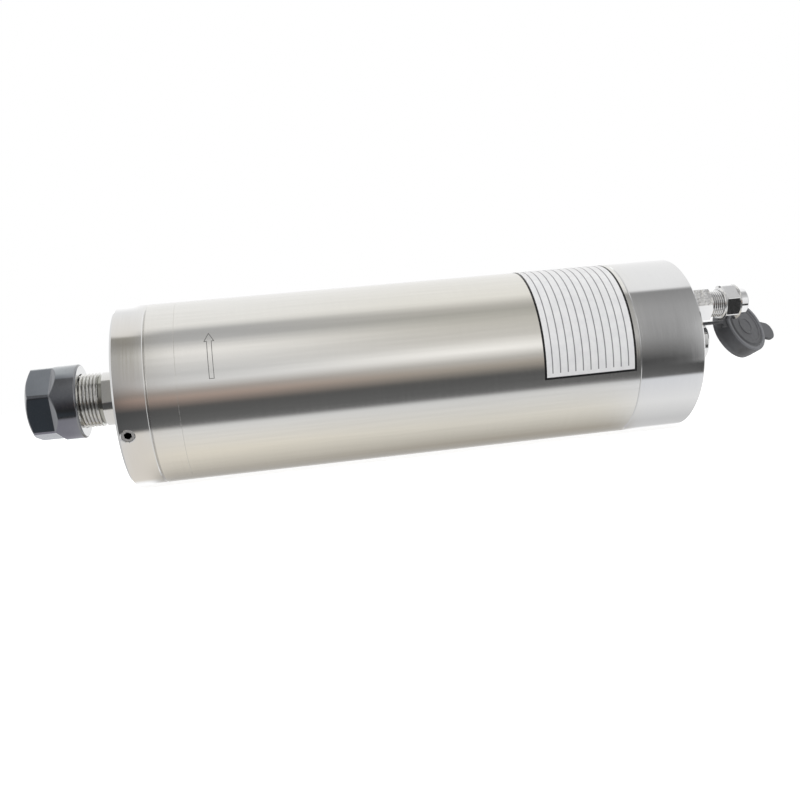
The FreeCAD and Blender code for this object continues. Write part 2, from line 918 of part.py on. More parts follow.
def collet():
    """The spring collet, slotted from both ends, that grips the tool."""
    cone_end = collet_front + collet_front_cone_length
    land_end = cone_end + collet_land_length
    shoulder = land_end + collet_groove_length
    rear = collet_front + collet_length
    rise = collet_front_cone_length * math.tan(math.radians(collet_front_cone_angle))
    front_radius = collet_front_diameter / 2
    slope = math.tan(math.radians(taper_angle))
    rear_radius = collet_diameter / 2 - (rear - shoulder) * slope
    grip_end = collet_front + collet_grip_length
    body = turned([
        (collet_front, collet_bore / 2),
        (grip_end, collet_bore / 2),
        (grip_end, collet_rear_bore / 2),
        (rear, collet_rear_bore / 2),
        (rear, rear_radius - running_gap),
        (shoulder, collet_diameter / 2 - running_gap),
        (shoulder, collet_groove_diameter / 2),
        (land_end, collet_groove_diameter / 2),
        (land_end, front_radius + rise),
        (cone_end, front_radius + rise),
        (collet_front, front_radius),
    ])
    between = collet_slot_angle + 180.0 / collet_slot_count
    cuts = collet_slots(collet_front - cut_over, collet_front + collet_front_slot_length,
                        collet_slot_angle)
    cuts += collet_slots(rear - collet_rear_slot_length, rear + cut_over, between)
    for cut in cuts:
        body = body.cut(cut)
    return body


def collet_nut():
    """The nut that draws the collet into the taper, with six flats on its front half."""
    cone_end = collet_front + collet_front_cone_length
    land_end = cone_end + collet_land_length
    shoulder = land_end + collet_groove_length
    rise = collet_front_cone_length * math.tan(math.radians(collet_front_cone_angle))
    mouth = collet_front_diameter / 2 + running_gap
    lip = collet_groove_diameter / 2 + free_gap
    chamber = collet_diameter / 2 + free_gap
    thread = nose_diameter / 2 + running_gap
    outer = nut_diameter / 2
    thread_end = nut_front + nut_thread_end
    nut = turned([
        (nut_front, mouth),
        (collet_front, mouth),
        (cone_end, mouth + rise),
        (land_end + nut_groove_play, mouth + rise),
        (land_end + nut_groove_play, lip),
        (shoulder - nut_groove_play, lip),
        (shoulder - nut_groove_play, chamber),
        (thread_end, chamber),
        (thread_end, thread),
        (nut_rear, thread),
        (nut_rear, outer - nut_rear_chamfer),
        (nut_rear - nut_rear_chamfer, outer),
        (nut_front + nut_front_chamfer, outer),
        (nut_front, outer - 2 * nut_front_chamfer),
    ])
    flat = nut_hex_across / 2
    rise_out = outer + cut_over - flat
    run_out = rise_out / math.tan(math.radians(nut_hex_run_out_angle))
    hex_end = nut_front + nut_hex_length
    section = [
        Vector(nut_front - cut_over, -outer, flat),
        Vector(hex_end, -outer, flat),
        Vector(hex_end + run_out, -outer, flat + rise_out),
        Vector(nut_front - cut_over, -outer, flat + rise_out),
    ]
    cutter = Part.Face(Part.makePolygon(section + section[:1])).extrude(Vector(0, 2 * outer, 0))
    for cut in patterned(cutter, 6, nut_ridge_angle - 60):
        nut = nut.cut(cut)
    return nut


def cover_screw_places():
    """The cover's screws, at the top, the bottom and both sides."""
    return [polar(cover_screw_circle / 2, 360.0 * step / cover_screw_count)
            for step in range(cover_screw_count)]


def rear_cover():
    """The cup that closes the rear, with bosses for its four long screws."""
    inner = body_radius - cover_wall
    cover = turned([
        (sleeve_rear, inner),
        (cover_inside, inner),
        (cover_inside, 0),
        (cover_rear, 0),
        (cover_rear, body_radius - rim_chamfer),
        (cover_rear - rim_chamfer, body_radius),
        (sleeve_rear + seam_chamfer, body_radius),
        (sleeve_rear, body_radius - seam_chamfer),
    ])
    limit = rod(register_rear, cover_inside, inner + cover_wall / 2)
    for side, rise in cover_screw_places():
        boss = rod(register_rear, cover_inside + cut_over, cover_boss_diameter / 2, side, rise)
        cover = cover.fuse(boss.common(limit))
    for side, rise in cover_screw_places():
        shank = cover_screw_diameter / 2 + fit_gap
        head_start = cover_rear - cover_screw_head_height - free_gap
        cover = cover.cut(rod(register_rear - cut_over, cover_rear + cut_over, shank, side, rise))
        cover = cover.cut(rod(head_start, cover_rear + cut_over, cover_screw_head / 2 + free_gap,
                              side, rise))
    for side, rise in fitting_places():
        cover = cover.cut(rod(cover_inside - cut_over, cover_rear + cut_over,
                              fitting_stub_diameter / 2 + fit_gap, side, rise))
    socket_hole = rod(cover_inside - cut_over, cover_rear + cut_over, socket_diameter / 2 + fit_gap)
    cover = cover.cut(socket_hole)
    return cover.removeSplitter()


def rear_cover_screws():
    """Four socket-head screws, sunk into the cover's rear face."""
    under_head = cover_rear - cover_screw_head_height - free_gap
    top = under_head + cover_screw_head_height
    start = register_rear - cover_screw_reach
    screws = []
    for side, rise in cover_screw_places():
        shank = rod(start, top, cover_screw_diameter / 2, side, rise)
        head = rod(under_head, top, cover_screw_head / 2, side, rise)
        socket = hexagon(top - cover_screw_head_height / 2, top + cut_over, cover_screw_hex, 0,
                         side, rise)
        screws.append(joined([shank, head]).cut(socket))
    return screws


def water_fitting(side, rise, mirror):
    """A hose fitting: stub through the cover, hexagon, thread and nipple."""
    x = cover_rear
    profile = [
        (cover_inside, water_tube_diameter / 2 + fit_gap),
        (cover_inside + water_tube_seat, water_tube_diameter / 2 + fit_gap),
        (cover_inside + water_tube_seat, fitting_bore / 2),
        (x + fitting_nipple_end, fitting_bore / 2),
        (x + fitting_nipple_end, fitting_nipple_diameter / 2 - small_chamfer),
        (x + fitting_nipple_end - small_chamfer, fitting_nipple_diameter / 2),
        (x + fitting_thread_end + fitting_cone_length, fitting_nipple_diameter / 2),
        (x + fitting_thread_end, fitting_thread_diameter / 2 - fitting_thread_chamfer),
        (x + fitting_thread_end - fitting_thread_chamfer, fitting_thread_diameter / 2),
        (x + fitting_hex_length - fitting_overlap, fitting_thread_diameter / 2),
        (x + fitting_hex_length - fitting_overlap, fitting_stub_diameter / 2),
        (cover_inside, fitting_stub_diameter / 2),
    ]
    core = moved(turned(profile), side, rise)
    base = hexagon(x, x + fitting_hex_length, fitting_hex_across, mirror * fitting_hex_angle,
                   side, rise)
    base = base.cut(rod(x - cut_over, x + fitting_hex_length + cut_over,
                        fitting_stub_diameter / 2 - small_chamfer, side, rise))
    return joined([core, base])


def fitting_nut(side, rise, mirror):
    """The nut that clamps the hose on its nipple."""
    start = cover_rear + fitting_nut_start
    end = start + fitting_nut_length
    wall = end - fitting_nut_end_wall
    body = hexagon(start, end, fitting_nut_across, mirror * fitting_nut_angle, side, rise)
    body = body.cut(rod(start - cut_over, wall, fitting_thread_diameter / 2 + running_gap,
                        side, rise))
    return body.cut(rod(wall - cut_over, end + cut_over, hose_sleeve_neck / 2 + free_gap, side, rise))


def hose_sleeve(side, rise):
    """The sleeve round the hose, trapped in the nut by its flange."""
    nut_end = cover_rear + fitting_nut_start + fitting_nut_length
    flange_end = nut_end - fitting_nut_end_wall - free_gap / 2
    flange_start = flange_end - hose_sleeve_flange_length
    collar_start = nut_end + free_gap / 2
    end = cover_rear + hose_sleeve_end
    profile = [
        (flange_start, hose_sleeve_bore / 2),
        (end, hose_sleeve_bore / 2),
        (end, hose_sleeve_diameter / 2 - small_chamfer),
        (end - small_chamfer, hose_sleeve_diameter / 2),
        (collar_start, hose_sleeve_diameter / 2),
        (collar_start, hose_sleeve_neck / 2),
        (flange_end, hose_sleeve_neck / 2),
        (flange_end, hose_sleeve_flange / 2),
        (flange_start, hose_sleeve_flange / 2),
    ]
    return moved(turned(profile), side, rise)


def water_tubes():
    """Two short tubes from the cover's fittings to the rear housing."""
    tubes = []
    for side, rise in fitting_places():
        start = register_rear - water_tube_seat
        end = cover_inside + water_tube_seat
        tubes.append(moved(tube(start, end, fitting_bore / 2, water_tube_diameter / 2),
                           side, rise))
    return tubes


def socket_shell():
    """The socket's barrel, with a flange behind the cover's wall and a key inside."""
    top = cover_rear + socket_height
    outer = socket_diameter / 2
    flange_start = cover_inside - socket_flange_thickness
    shell = turned([
        (flange_start, socket_bore / 2),
        (top, socket_bore / 2),
        (top, outer - socket_rim_chamfer),
        (top - socket_rim_chamfer, outer),
        (cover_inside, outer),
        (cover_inside, socket_flange_diameter / 2),
        (flange_start, socket_flange_diameter / 2),
    ])
    bore = socket_bore / 2
    key = block(insert_top(), top - key_setback, bore - key_height, bore + small_chamfer, key_width)
    return joined([shell, key])


def insert_top():
    """The face of the socket's insulator, down inside the barrel."""
    return cover_rear + socket_height - socket_insert_front


def pin_places():
    """The socket's pins, on a circle."""
    return [polar(pin_circle / 2, 360.0 * step / pin_count) for step in range(pin_count)]


def socket_insert():
    """The insulator that carries the pins."""
    start = cover_inside - socket_insert_back
    insert = rod(start, insert_top(), socket_bore / 2 - fit_gap)
    for side, rise in pin_places():
        insert = insert.cut(rod(start - cut_over, insert_top() + cut_over,
                                pin_diameter / 2 + fit_gap, side, rise))
    return insert


def socket_pins():
    """The contact pins, with rounded tips toward the plug."""
    start = wire_end
    end = insert_top() + pin_reach
    radius = pin_diameter / 2
    pin = turned([(start, 0), (end, 0), (end, radius - pin_tip), (end - pin_tip, radius),
                  (start, radius)])
    return [moved(pin, side, rise) for side, rise in pin_places()]


def socket_ring_nut():
    """The round nut that clamps the socket and the cap's ring on the rear face."""
    start = cover_rear + strap_ring_thickness
    return tube(start, start + ring_nut_height, socket_diameter / 2 + fit_gap,
                ring_nut_diameter / 2)


def lead_wires():
    """Insulated wires from the rear winding head to three of the pins."""
    start = stator_rear + winding_rear_overhang
    turn = wire_end - lead_wire_turn
    hole_side, hole_rise = polar(wire_hole_radius, wire_hole_angle)
    wires = []
    for step, pin in enumerate(lead_wire_pins):
        side, rise = pin_places()[pin]
        low_side = hole_side + (step - 1) * lead_wire_spacing
        points = [
            Vector(start, low_side, hole_rise),
            Vector(turn, low_side, hole_rise),
            Vector(turn, side, rise),
            Vector(wire_end, side, rise),
        ]
        section = Part.Wire(Part.makeCircle(lead_wire_diameter / 2, points[0], Vector(1, 0, 0)))
        wires.append(Part.makePolygon(points).makePipeShell([section], True, False, 1))
    return wires


def at_strap(shape):
    """A copy of a shape built on the +Z side, turned to the side that the strap is on."""
    return spun(shape, cap_strap_angle - 90)


def cap_strap():
    """The rubber ring round the socket and the strap that carries the cap."""
    half = strap_thickness / 2
    ring = tube(cover_rear, cover_rear + strap_ring_thickness,
                socket_diameter / 2 + fit_gap, cap_hinge_reach + half)
    strap = block(cover_rear, hinge_x - lug_radius - free_gap,
                  cap_hinge_reach - half, cap_hinge_reach + half, strap_width)
    return joined([ring, at_strap(strap)])


def dust_cap():
    """The rubber cap, built straight with its hinge at the origin and then swung open."""
    radius = cap_diameter / 2
    face = cap_hinge_drop
    mouth = face - cap_height
    edge = cap_edge
    cup = turned([
        (mouth, radius - cap_wall),
        (face - cap_top, radius - cap_wall),
        (face - cap_top, 0),
        (face, 0),
        (face, radius - cap_rim_width - cap_rim_groove),
        (face - cap_rim_depth, radius - cap_rim_width - cap_rim_groove),
        (face - cap_rim_depth, radius - cap_rim_width),
        (face, radius - cap_rim_width),
        (face, radius - edge),
        (face - edge, radius),
        (mouth, radius),
    ])
    cup = moved(cup, 0, -cap_hinge_reach)
    tab_middle = -cap_hinge_reach - radius - cap_tab_length + cap_tab_width / 2
    tab = block(face - edge - cap_tab_thickness, face - edge, tab_middle,
                -cap_hinge_reach - radius + cap_wall / 2, cap_tab_width)
    tab_end = rod(face - edge - cap_tab_thickness, face - edge, cap_tab_width / 2, 0, tab_middle)
    lug = block(-lug_radius, lug_radius, radius - cap_wall / 2 - cap_hinge_reach, 0, strap_width)
    knuckle = Part.makeCylinder(lug_radius, strap_width, Vector(0, -strap_width / 2, 0),
                                Vector(0, 1, 0))
    cap = joined([cup, tab, tab_end, lug, knuckle])
    cap.rotate(Vector(0, 0, 0), Vector(0, -1, 0), cap_open_angle)
    cap.translate(Vector(hinge_x, 0, cap_hinge_reach))
    return at_strap(cap)


def main():
    """Build every sub-part and write it to its own file."""
    os.makedirs("parts", exist_ok=True)
    front_places = bearing_places()[:2]
    rear_places = bearing_places()[2:]
    save("outer_sleeve", [outer_sleeve()])
    save("cooling_jacket", [cooling_jacket()])
    save("water_seals", water_seals())
    save("front_bearing_housing", [front_bearing_housing()])
    save("front_end_cap", [front_end_cap()])
    save("front_cap_set_screws", front_cap_set_screws())
    save("front_clamp_ring", [front_clamp_ring()])
    save("front_bearing_outer_rings", outer_rings(front_places))
    save("front_bearing_inner_rings", inner_rings(front_places))
    save("front_bearing_balls", ball_sets(front_places, front_ball_count))
    save("front_bearing_cages", cages(front_places, front_ball_count))
    save("front_outer_spacer", [front_outer_spacer()])
    save("front_inner_spacer", [front_inner_spacer()])
    save("front_lock_nut", [front_lock_nut()])
    save("rear_bearing_housing", [rear_bearing_housing()])
    save("rear_disc_spring", [disc_spring()])
    save("rear_bearing_outer_rings", outer_rings(rear_places))
    save("rear_bearing_inner_rings", inner_rings(rear_places))
    save("rear_bearing_balls", ball_sets(rear_places, rear_ball_count))
    save("rear_bearing_cages", cages(rear_places, rear_ball_count))
    save("rear_bearing_retainer", [rear_bearing_retainer()])
    save("rear_retainer_screws", retainer_screws())
    save("rear_lock_nut", [rear_lock_nut()])
    save("stator_core", [stator_core()])
    save("stator_windings", [stator_windings()])
    save("spindle_shaft", [spindle_shaft()])
    save("rotor_core", [rotor_core()])
    save("rotor_cage", [rotor_cage()])
    save("collet", [collet()])
    save("collet_nut", [collet_nut()])
    save("rear_cover", [rear_cover()])
    save("rear_cover_screws", rear_cover_screws())
    save("water_tubes", water_tubes())
    for name, mirror, (side, rise) in zip(("left", "right"), (1, -1), fitting_places()):
        save(name + "_water_fitting", [water_fitting(side, rise, mirror)])
        save(name + "_fitting_nut", [fitting_nut(side, rise, mirror)])
        save(name + "_hose_sleeve", [hose_sleeve(side, rise)])
    save("socket_shell", [socket_shell()])
    save("socket_insert", [socket_insert()])
    save("socket_pins", socket_pins())
    save("socket_ring_nut", [socket_ring_nut()])
    save("lead_wires", lead_wires())
    save("cap_strap", [cap_strap()])
    save("dust_cap", [dust_cap()])


main()
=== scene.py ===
import json
import math

import bmesh
import bpy
import numpy as np
from mathutils import Matrix, Vector


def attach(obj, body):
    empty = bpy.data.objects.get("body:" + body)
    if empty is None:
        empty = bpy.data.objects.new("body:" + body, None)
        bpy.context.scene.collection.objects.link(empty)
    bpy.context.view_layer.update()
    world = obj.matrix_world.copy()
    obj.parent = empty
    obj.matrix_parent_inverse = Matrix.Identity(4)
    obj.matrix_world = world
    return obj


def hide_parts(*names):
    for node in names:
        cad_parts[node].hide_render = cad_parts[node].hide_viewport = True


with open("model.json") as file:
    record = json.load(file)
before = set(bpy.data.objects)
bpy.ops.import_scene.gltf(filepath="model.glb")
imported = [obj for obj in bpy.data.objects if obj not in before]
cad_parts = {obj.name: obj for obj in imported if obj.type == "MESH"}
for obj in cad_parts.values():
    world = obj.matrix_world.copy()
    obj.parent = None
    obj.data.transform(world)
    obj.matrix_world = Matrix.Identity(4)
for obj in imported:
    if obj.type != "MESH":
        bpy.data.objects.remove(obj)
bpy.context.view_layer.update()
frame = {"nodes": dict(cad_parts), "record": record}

# A motor spindle, lying along X with its tool end toward -X. Lengths are millimetres, and MM makes metres
# of them where a mesh is written or a node is fed. An angle round X counts from -Y toward +Z, in radians.

nodes = frame["nodes"]
TURN = 2 * math.pi
MM = 0.001
MERGE = 2e-7
SLIVER = 1e-7

# Body

BODY_RADIUS = 40.0

# Shaft: its steps are radius, start and end

NOSE_FRONT = -155.8
NOSE_RADIUS = 12.0
NOSE_BEVEL = 0.5
NOSE_THREAD = (-155.0, -136.7)
NOSE_THREAD_PITCH = 1.5
NOSE_THREAD_DEPTH = 1.0
NOSE_RELIEF = (-136.4, -135.0)
NOSE_RELIEF_RADIUS = 10.8
NOSE_FLATS = (-144.8, -127.5)
NOSE_FLAT_REACH = 11.0
NOSE_THREAD_FLAT = 11.35
NOSE_FLAT_ANGLE = math.radians(16.0)
NOSE_END = -125.1
SHAFT_STEPS = [(12.5, NOSE_END, -81.0), (15.5, -81.0, -69.0), (13.0, -69.0, 64.0), (10.0, 64.0, 85.6),
               (7.5, 85.6, 109.1)]
SHAFT_END = 109.6
COLLET_BORE = [(-115.2, 0.0), (-118.8, 6.0), (-128.8, 6.0), (-128.8, 6.405)]
COLLET_CONE_MOUTH = 10.2

# Threads: how steep a flank is, how much of the crest is flat, and over how many pitches the end runs out

THREAD_FLANK = 1.25
THREAD_CREST = 0.12
THREAD_RUN_OUT = 0.35

# Collet nut

NUT_FRONT = -166.2
NUT_REAR = -144.6
NUT_RADIUS = 16.5
NUT_FLAT = 14.5
NUT_HEX_END = -155.7
NUT_RUN_OUT = math.tan(math.radians(38.0))
NUT_RIDGE = math.radians(12.5)
NUT_MOUTH = 8.66
NUT_THREAD_RADIUS = 12.06
NUT_WALL = 12.6
NUT_INSIDE = [(NUT_REAR, NUT_THREAD_RADIUS), (-157.0, NUT_THREAD_RADIUS), (-157.0, 10.8), (-158.3, 10.8),
              (-158.3, 9.1), (-160.1, 9.1), (-160.1, 10.16), (-161.6, 10.16), (-164.2, NUT_MOUTH)]

# Water fittings

FITTING_SIDE = 24.0
FITTING_HEIGHT = 15.7
FITTING_FLAT = 7.0
FITTING_STOCK = 8.1
FITTING_HEXAGON = (130.0, 139.8)
FITTING_CORNER = math.radians(55.0)
FITTING_THREAD = (140.0, 148.2)
FITTING_THREAD_RADIUS = 6.0
FITTING_THREAD_PITCH = 1.0
FITTING_THREAD_DEPTH = 0.5
HOSE_NUT = (146.1, 153.4)
HOSE_NUT_CORNER = math.radians(10.0)

# Dust cap and its strap

HINGE_X = 153.3
HINGE_REACH = 14.4
CAP_OPEN = math.radians(63.5)
CAP_RADIUS = 13.4
CAP_FACE = 2.5
CAP_DEPTH = 8.8
CAP_TAB_HALF = 4.5
CAP_TAB_LENGTH = 4.1
CAP_RUBBER = (0.088, 0.09, 0.097)
STRAP_ANGLE = math.radians(26.0)
STRAP_START = 130.8
STRAP_LENGTH = 21.4
STRAP_TWIST = math.radians(-64.0)
STRAP_HALF_WIDTH = 2.9
STRAP_HALF_THICKNESS = 0.8
STRAP_RISE = 1.6
SOCKET_RING = [(130.0, 11.54), (131.6, 11.54), (131.6, 15.1), (130.0, 15.1)]

# Plate and arrow on the sleeve

PLATE_X = (55.5, 97.4)
PLATE_ANGLES = (math.radians(-16.0), math.radians(113.0))
PLATE_LIFT = 0.01
PLATE_THICKNESS = 0.05
PLATE_BORDER = 0.95
PLATE_MARGIN = 2.6
PLATE_FIRST_LINE = 3.6
PLATE_LINE_STEP = 3.45
ARROW_X = -85.1
ARROW_TAIL = math.radians(5.5)
ARROW_NECK = math.radians(29.05)
ARROW_TIP = math.radians(35.2)
ARROW_SHAFT_HALF = 1.1
ARROW_HEAD_HALF = 2.25
ARROW_LINE = 0.27
ARROW_LOW = BODY_RADIUS + 0.005
ARROW_HIGH = BODY_RADIUS + 0.02

# The range that most of a noise's values lie in, for soft clouds and for fine grain

CLOUDS = (0.35, 0.65)
RINGS = (0.3, 0.7)

# Light, floor and camera

PLAIN_LIGHT = (0.44, 0.44, 0.44)
WHITE = (1.0, 1.0, 1.0)
LAMP_SIZE = (0.9, 0.7)
FLOOR_HALF = 6.0
FLOOR_LEVEL = -0.0403
FLOOR_GLOW = 0.66
CAMERA_PLACE = (-0.05758, -0.4, 0.0)
CAMERA_TURNS = (7.73, -2.03, -5.74)
SENSOR_WIDTH = 36.0
FOCAL_SHARE = 862.1 / 800

# The studio that the metal mirrors, from the tool end to the hose end. A row has the piece that mirrors it,
# the stretch of mirror directions along X over which it takes over from the row before, and its stops. A
# stop is degrees round X, where 0 is the camera's side, 90 the ceiling and -90 the floor, and a brightness,
# grey or tinted: white walls and a ceiling near 1, a grey screen at 0.3 to 0.6, a black screen below 0.2
# just under the camera, and under that a warm floor. The brightnesses were worked out from colours read off
# the photograph at places along and round the body, made linear and divided by the metal's own colour, then
# adjusted by comparing renders, and rounded.

STUDIO = [
    ("beside the nose", None, [
        (-180, 0.85), (-150, 0.6), (-85, 0.75), (-50, 0.65), (-42, 0.2), (-20, 0.15), (10, 0.55), (50, 0.7),
        (65, 0.42), (80, 0.42), (90, 0.75), (180, 0.9)]),
    ("collet nut", (-0.34, -0.29), [
        (-180, (1.5, 1.6, 1.55)), (-163, (1.5, 1.6, 1.55)), (-155, (0.58, 0.56, 0.62)),
        (-54, (0.5, 0.48, 0.55)), (-47, 0.065), (-38, (0.09, 0.11, 0.13)), (-24, 0.05),
        (-10, (0.075, 0.075, 0.09)), (20, (0.18, 0.185, 0.2)), (80, 0.24), (84, (0.5, 0.53, 0.55)),
        (90, (0.6, 0.63, 0.65)), (105, (1.15, 1.2, 1.18)), (180, 1.4)]),
    ("spindle nose", (-0.2196, -0.2176), [
        (-180, 0.85), (-50, 0.8), (-46, 0.07), (-6, 0.07), (22, 0.4), (50, 0.5), (80, 0.3), (84, 0.9),
        (180, 1.1)]),
    ("front end cap", (-0.184, -0.178), [
        (-180, 1.25), (-150, 1.1), (-138, (0.8, 0.75, 0.68)), (-48, (0.78, 0.73, 0.66)), (-43, 0.12),
        (-20, 0.08), (-6, (0.4, 0.3, 0.25)), (0, (0.34, 0.28, 0.24)), (14, (0.48, 0.45, 0.42)),
        (50, (0.42, 0.4, 0.35)), (68, (0.28, 0.26, 0.22)), (78, (0.33, 0.31, 0.26)),
        (81, (0.86, 0.82, 0.76)), (133, 0.93), (155, 1.2), (180, 1.25)]),
    ("front of the sleeve", (-0.154, -0.141), [
        (-180, 0.95), (-150, (0.45, 0.43, 0.4)), (-130, (0.5, 0.47, 0.42)), (-85, (0.85, 0.8, 0.7)),
        (-48, 0.79), (-43, 0.15), (-20, 0.1), (-7, (0.45, 0.35, 0.3)), (0, (0.4, 0.36, 0.33)), (10, 0.77),
        (22, 0.66), (50, (1.0, 0.98, 0.95)), (66, 0.5), (80, 0.45), (90, (0.92, 0.91, 0.88)), (180, 1.0)]),
    ("rear of the sleeve", (-0.11, 0.24), [
        (-180, 1.0), (-150, (0.45, 0.43, 0.4)), (-130, (0.42, 0.39, 0.34)), (-85, (0.78, 0.75, 0.68)),
        (-48, 0.75), (-43, 0.15), (-20, 0.1), (-7, (0.42, 0.38, 0.33)), (2, (0.55, 0.53, 0.5)),
        (14, (1.1, 1.08, 1.04)), (30, (0.67, 0.65, 0.61)), (50, (0.62, 0.6, 0.55)),
        (68, (0.45, 0.44, 0.4)), (76, (0.54, 0.52, 0.48)), (90, (0.9, 0.88, 0.82)), (180, 1.0)]),
    ("rear cover", (0.368, 0.388), [
        (-180, 1.15), (-164, 1.1), (-150, 0.66), (-125, 0.66), (-84, 0.88), (-48, (0.76, 0.77, 0.8)),
        (-45, 0.15), (-22, 0.07), (6, 0.28), (34, 0.38), (50, 0.37), (75, 0.28), (79, 0.94), (180, 1.0)]),
    ("water fittings", (0.456, 0.47), [
        (-180, 1.0), (-48, 1.0), (-45, 0.025), (-32, 0.025), (-28, 0.8), (18, 0.95), (34, 0.6), (60, 0.44),
        (74, 0.46), (88, 0.66), (98, 1.0), (180, 1.05)]),
    ("beside the fittings", (0.53, 0.58), [
        (-180, 0.95), (-100, 0.8), (-50, 0.75), (-20, 0.5), (20, 0.6), (70, 0.85), (130, 1.0),
        (180, 0.95)]),
]


# Meshes

def write_mesh(name, points, faces, sharp=None):
    """A mesh object from points in millimetres and index rows; doubles are merged and faces turned outward.
    Edges sharper than an angle in degrees stay sharp."""
    mesh = bpy.data.meshes.new(name)
    mesh.from_pydata((points.reshape(-1, 3) * MM).tolist(), [], faces.tolist())
    work = bmesh.new()
    work.from_mesh(mesh)
    bmesh.ops.remove_doubles(work, verts=work.verts, dist=MERGE)
    bmesh.ops.dissolve_degenerate(work, edges=work.edges, dist=SLIVER)
    bmesh.ops.recalc_face_normals(work, faces=work.faces)
    work.to_mesh(mesh)
    work.free()
    mesh.shade_smooth()
    if sharp:
        mesh.set_sharp_from_angle(angle=math.radians(sharp))
    piece = bpy.data.objects.new(name, mesh)
    bpy.context.scene.collection.objects.link(piece)
    return piece


def reshaped(piece, rule):
    """Move a piece's points by a rule, which takes and gives rows of millimetres."""
    points = np.empty(len(piece.data.vertices) * 3)
    piece.data.vertices.foreach_get("co", points)
    points = rule(points.reshape(-1, 3) * 1000)
    piece.data.vertices.foreach_set("co", (points * MM).ravel())
    piece.data.update()


def grid_faces(rows, columns, close_rows=False, close_columns=False):
    """Quads between the rows and columns of a grid; a closed side joins its last line to its first."""
    row = np.arange(rows if close_rows else rows - 1)
    column = np.arange(columns if close_columns else columns - 1)
    a, b = np.meshgrid(row, column, indexing="ij")
    a2 = (a + 1) % rows
    b2 = (b + 1) % columns
    quads = [a * columns + b, a * columns + b2, a2 * columns + b2, a2 * columns + b]
    return np.stack(quads, -1).reshape(-1, 4)


def softened(profile, radius):
    """A closed profile whose corners are small arcs: each corner is a quadratic curve between points a set
    distance before and after it, with one more point on each side to keep the flats flat."""
    corners = np.array(profile, float)
    to_before = np.roll(corners, 1, 0) - corners
    to_after = np.roll(corners, -1, 0) - corners
    length_before = np.linalg.norm(to_before, axis=1, keepdims=True)
    length_after = np.linalg.norm(to_after, axis=1, keepdims=True)
    reach = np.minimum(radius, 0.3 * np.minimum(length_before, length_after))
    before = to_before / length_before * reach
    after = to_after / length_after * reach
    t = np.linspace(0, 1, 4)[None, :, None]
    corner, before, after = corners[:, None], before[:, None], after[:, None]
    arc = (1 - t) ** 2 * (corner + before) + 2 * t * (1 - t) * corner + t ** 2 * (corner + after)
    return np.concatenate([corner + before * 1.5, arc, corner + after * 1.5], 1).reshape(-1, 2)


def finely(profile, step, span):
    """A profile with points added every step on its runs along X inside a span."""
    points = np.array(profile, float)
    out = [points[:1]]
    for first, last in zip(points[:-1], points[1:]):
        inside = span[0] <= min(first[0], last[0]) and max(first[0], last[0]) <= span[1]
        count = max(int(abs(last[0] - first[0]) / step), 1) if inside else 1
        t = np.linspace(0, 1, count + 1)[1:, None]
        out.append(first + (last - first) * t)
    return np.concatenate(out)


def turned(name, profile, count=96, centre=(0.0, 0.0), shape=None, sharp=None, turn=0.0):
    """A closed profile of (x, radius) carried round a line along X; shape may change the radius by place
    and angle."""
    profile = np.asarray(profile, float)
    angle = np.linspace(0, TURN, count, endpoint=False)[None, :] + turn
    x = np.repeat(profile[:, :1], count, 1)
    radius = np.repeat(profile[:, 1:], count, 1)
    if shape:
        radius = shape(x, angle, radius)
    points = np.stack([x, centre[0] - radius * np.cos(angle), centre[1] + radius * np.sin(angle)], -1)
    return write_mesh(name, points, grid_faces(len(profile), count, True, True), sharp)


def hexagon_reach(angle, corner, flat):
    """Distance from a hexagon's middle to its side: the flat's distance over the cosine of the angle from
    the nearest flat."""
    from_flat = (angle - corner) % (TURN / 6) - TURN / 12
    return flat / np.cos(from_flat)


def thread_drop(x, angle, pitch, span, depth):
    """How far a right-hand thread lies below its crest: a rounded zigzag of the place along the helix,
    faded at both ends."""
    phase = (x - span[0]) / pitch + angle / TURN
    zigzag = np.abs((phase % 1.0) * 2 - 1)
    ends = np.clip((x - span[0]) / pitch, 0, 1) * np.clip((span[1] - x) / (THREAD_RUN_OUT * pitch), 0, 1)
    return depth * np.clip(zigzag * THREAD_FLANK - THREAD_CREST, 0, 1) * ends


# Nodes

def feed(tree, socket, value):
    """Give a socket another node's output, a colour without its alpha, or a number."""
    if hasattr(value, "is_linked"):
        tree.links.new(value, socket)
    else:
        socket.default_value = (*value, 1.0) if isinstance(value, tuple) else value


def calculated(tree, kind, first, second=0.0):
    """One step of arithmetic."""
    node = tree.nodes.new("ShaderNodeMath")
    node.operation = kind
    feed(tree, node.inputs[0], first)
    feed(tree, node.inputs[1], second)
    return node.outputs[0]


def mapped(tree, value, low, high, out_low, out_high, easing="LINEAR"):
    """A value mapped from one range to another, clamped."""
    node = tree.nodes.new("ShaderNodeMapRange")
    node.interpolation_type = easing
    node.clamp = True
    for socket, number in zip(list(node.inputs)[:5], (value, low, high, out_low, out_high)):
        feed(tree, socket, number)
    return node.outputs[0]


def mixed(tree, share, first, second):
    """The first colour where the share is 0, the second where it is 1."""
    node = tree.nodes.new("ShaderNodeMix")
    node.data_type = "RGBA"
    feed(tree, node.inputs[0], share)
    feed(tree, node.inputs[6], first)
    feed(tree, node.inputs[7], second)
    return node.outputs[2]


# Finishes

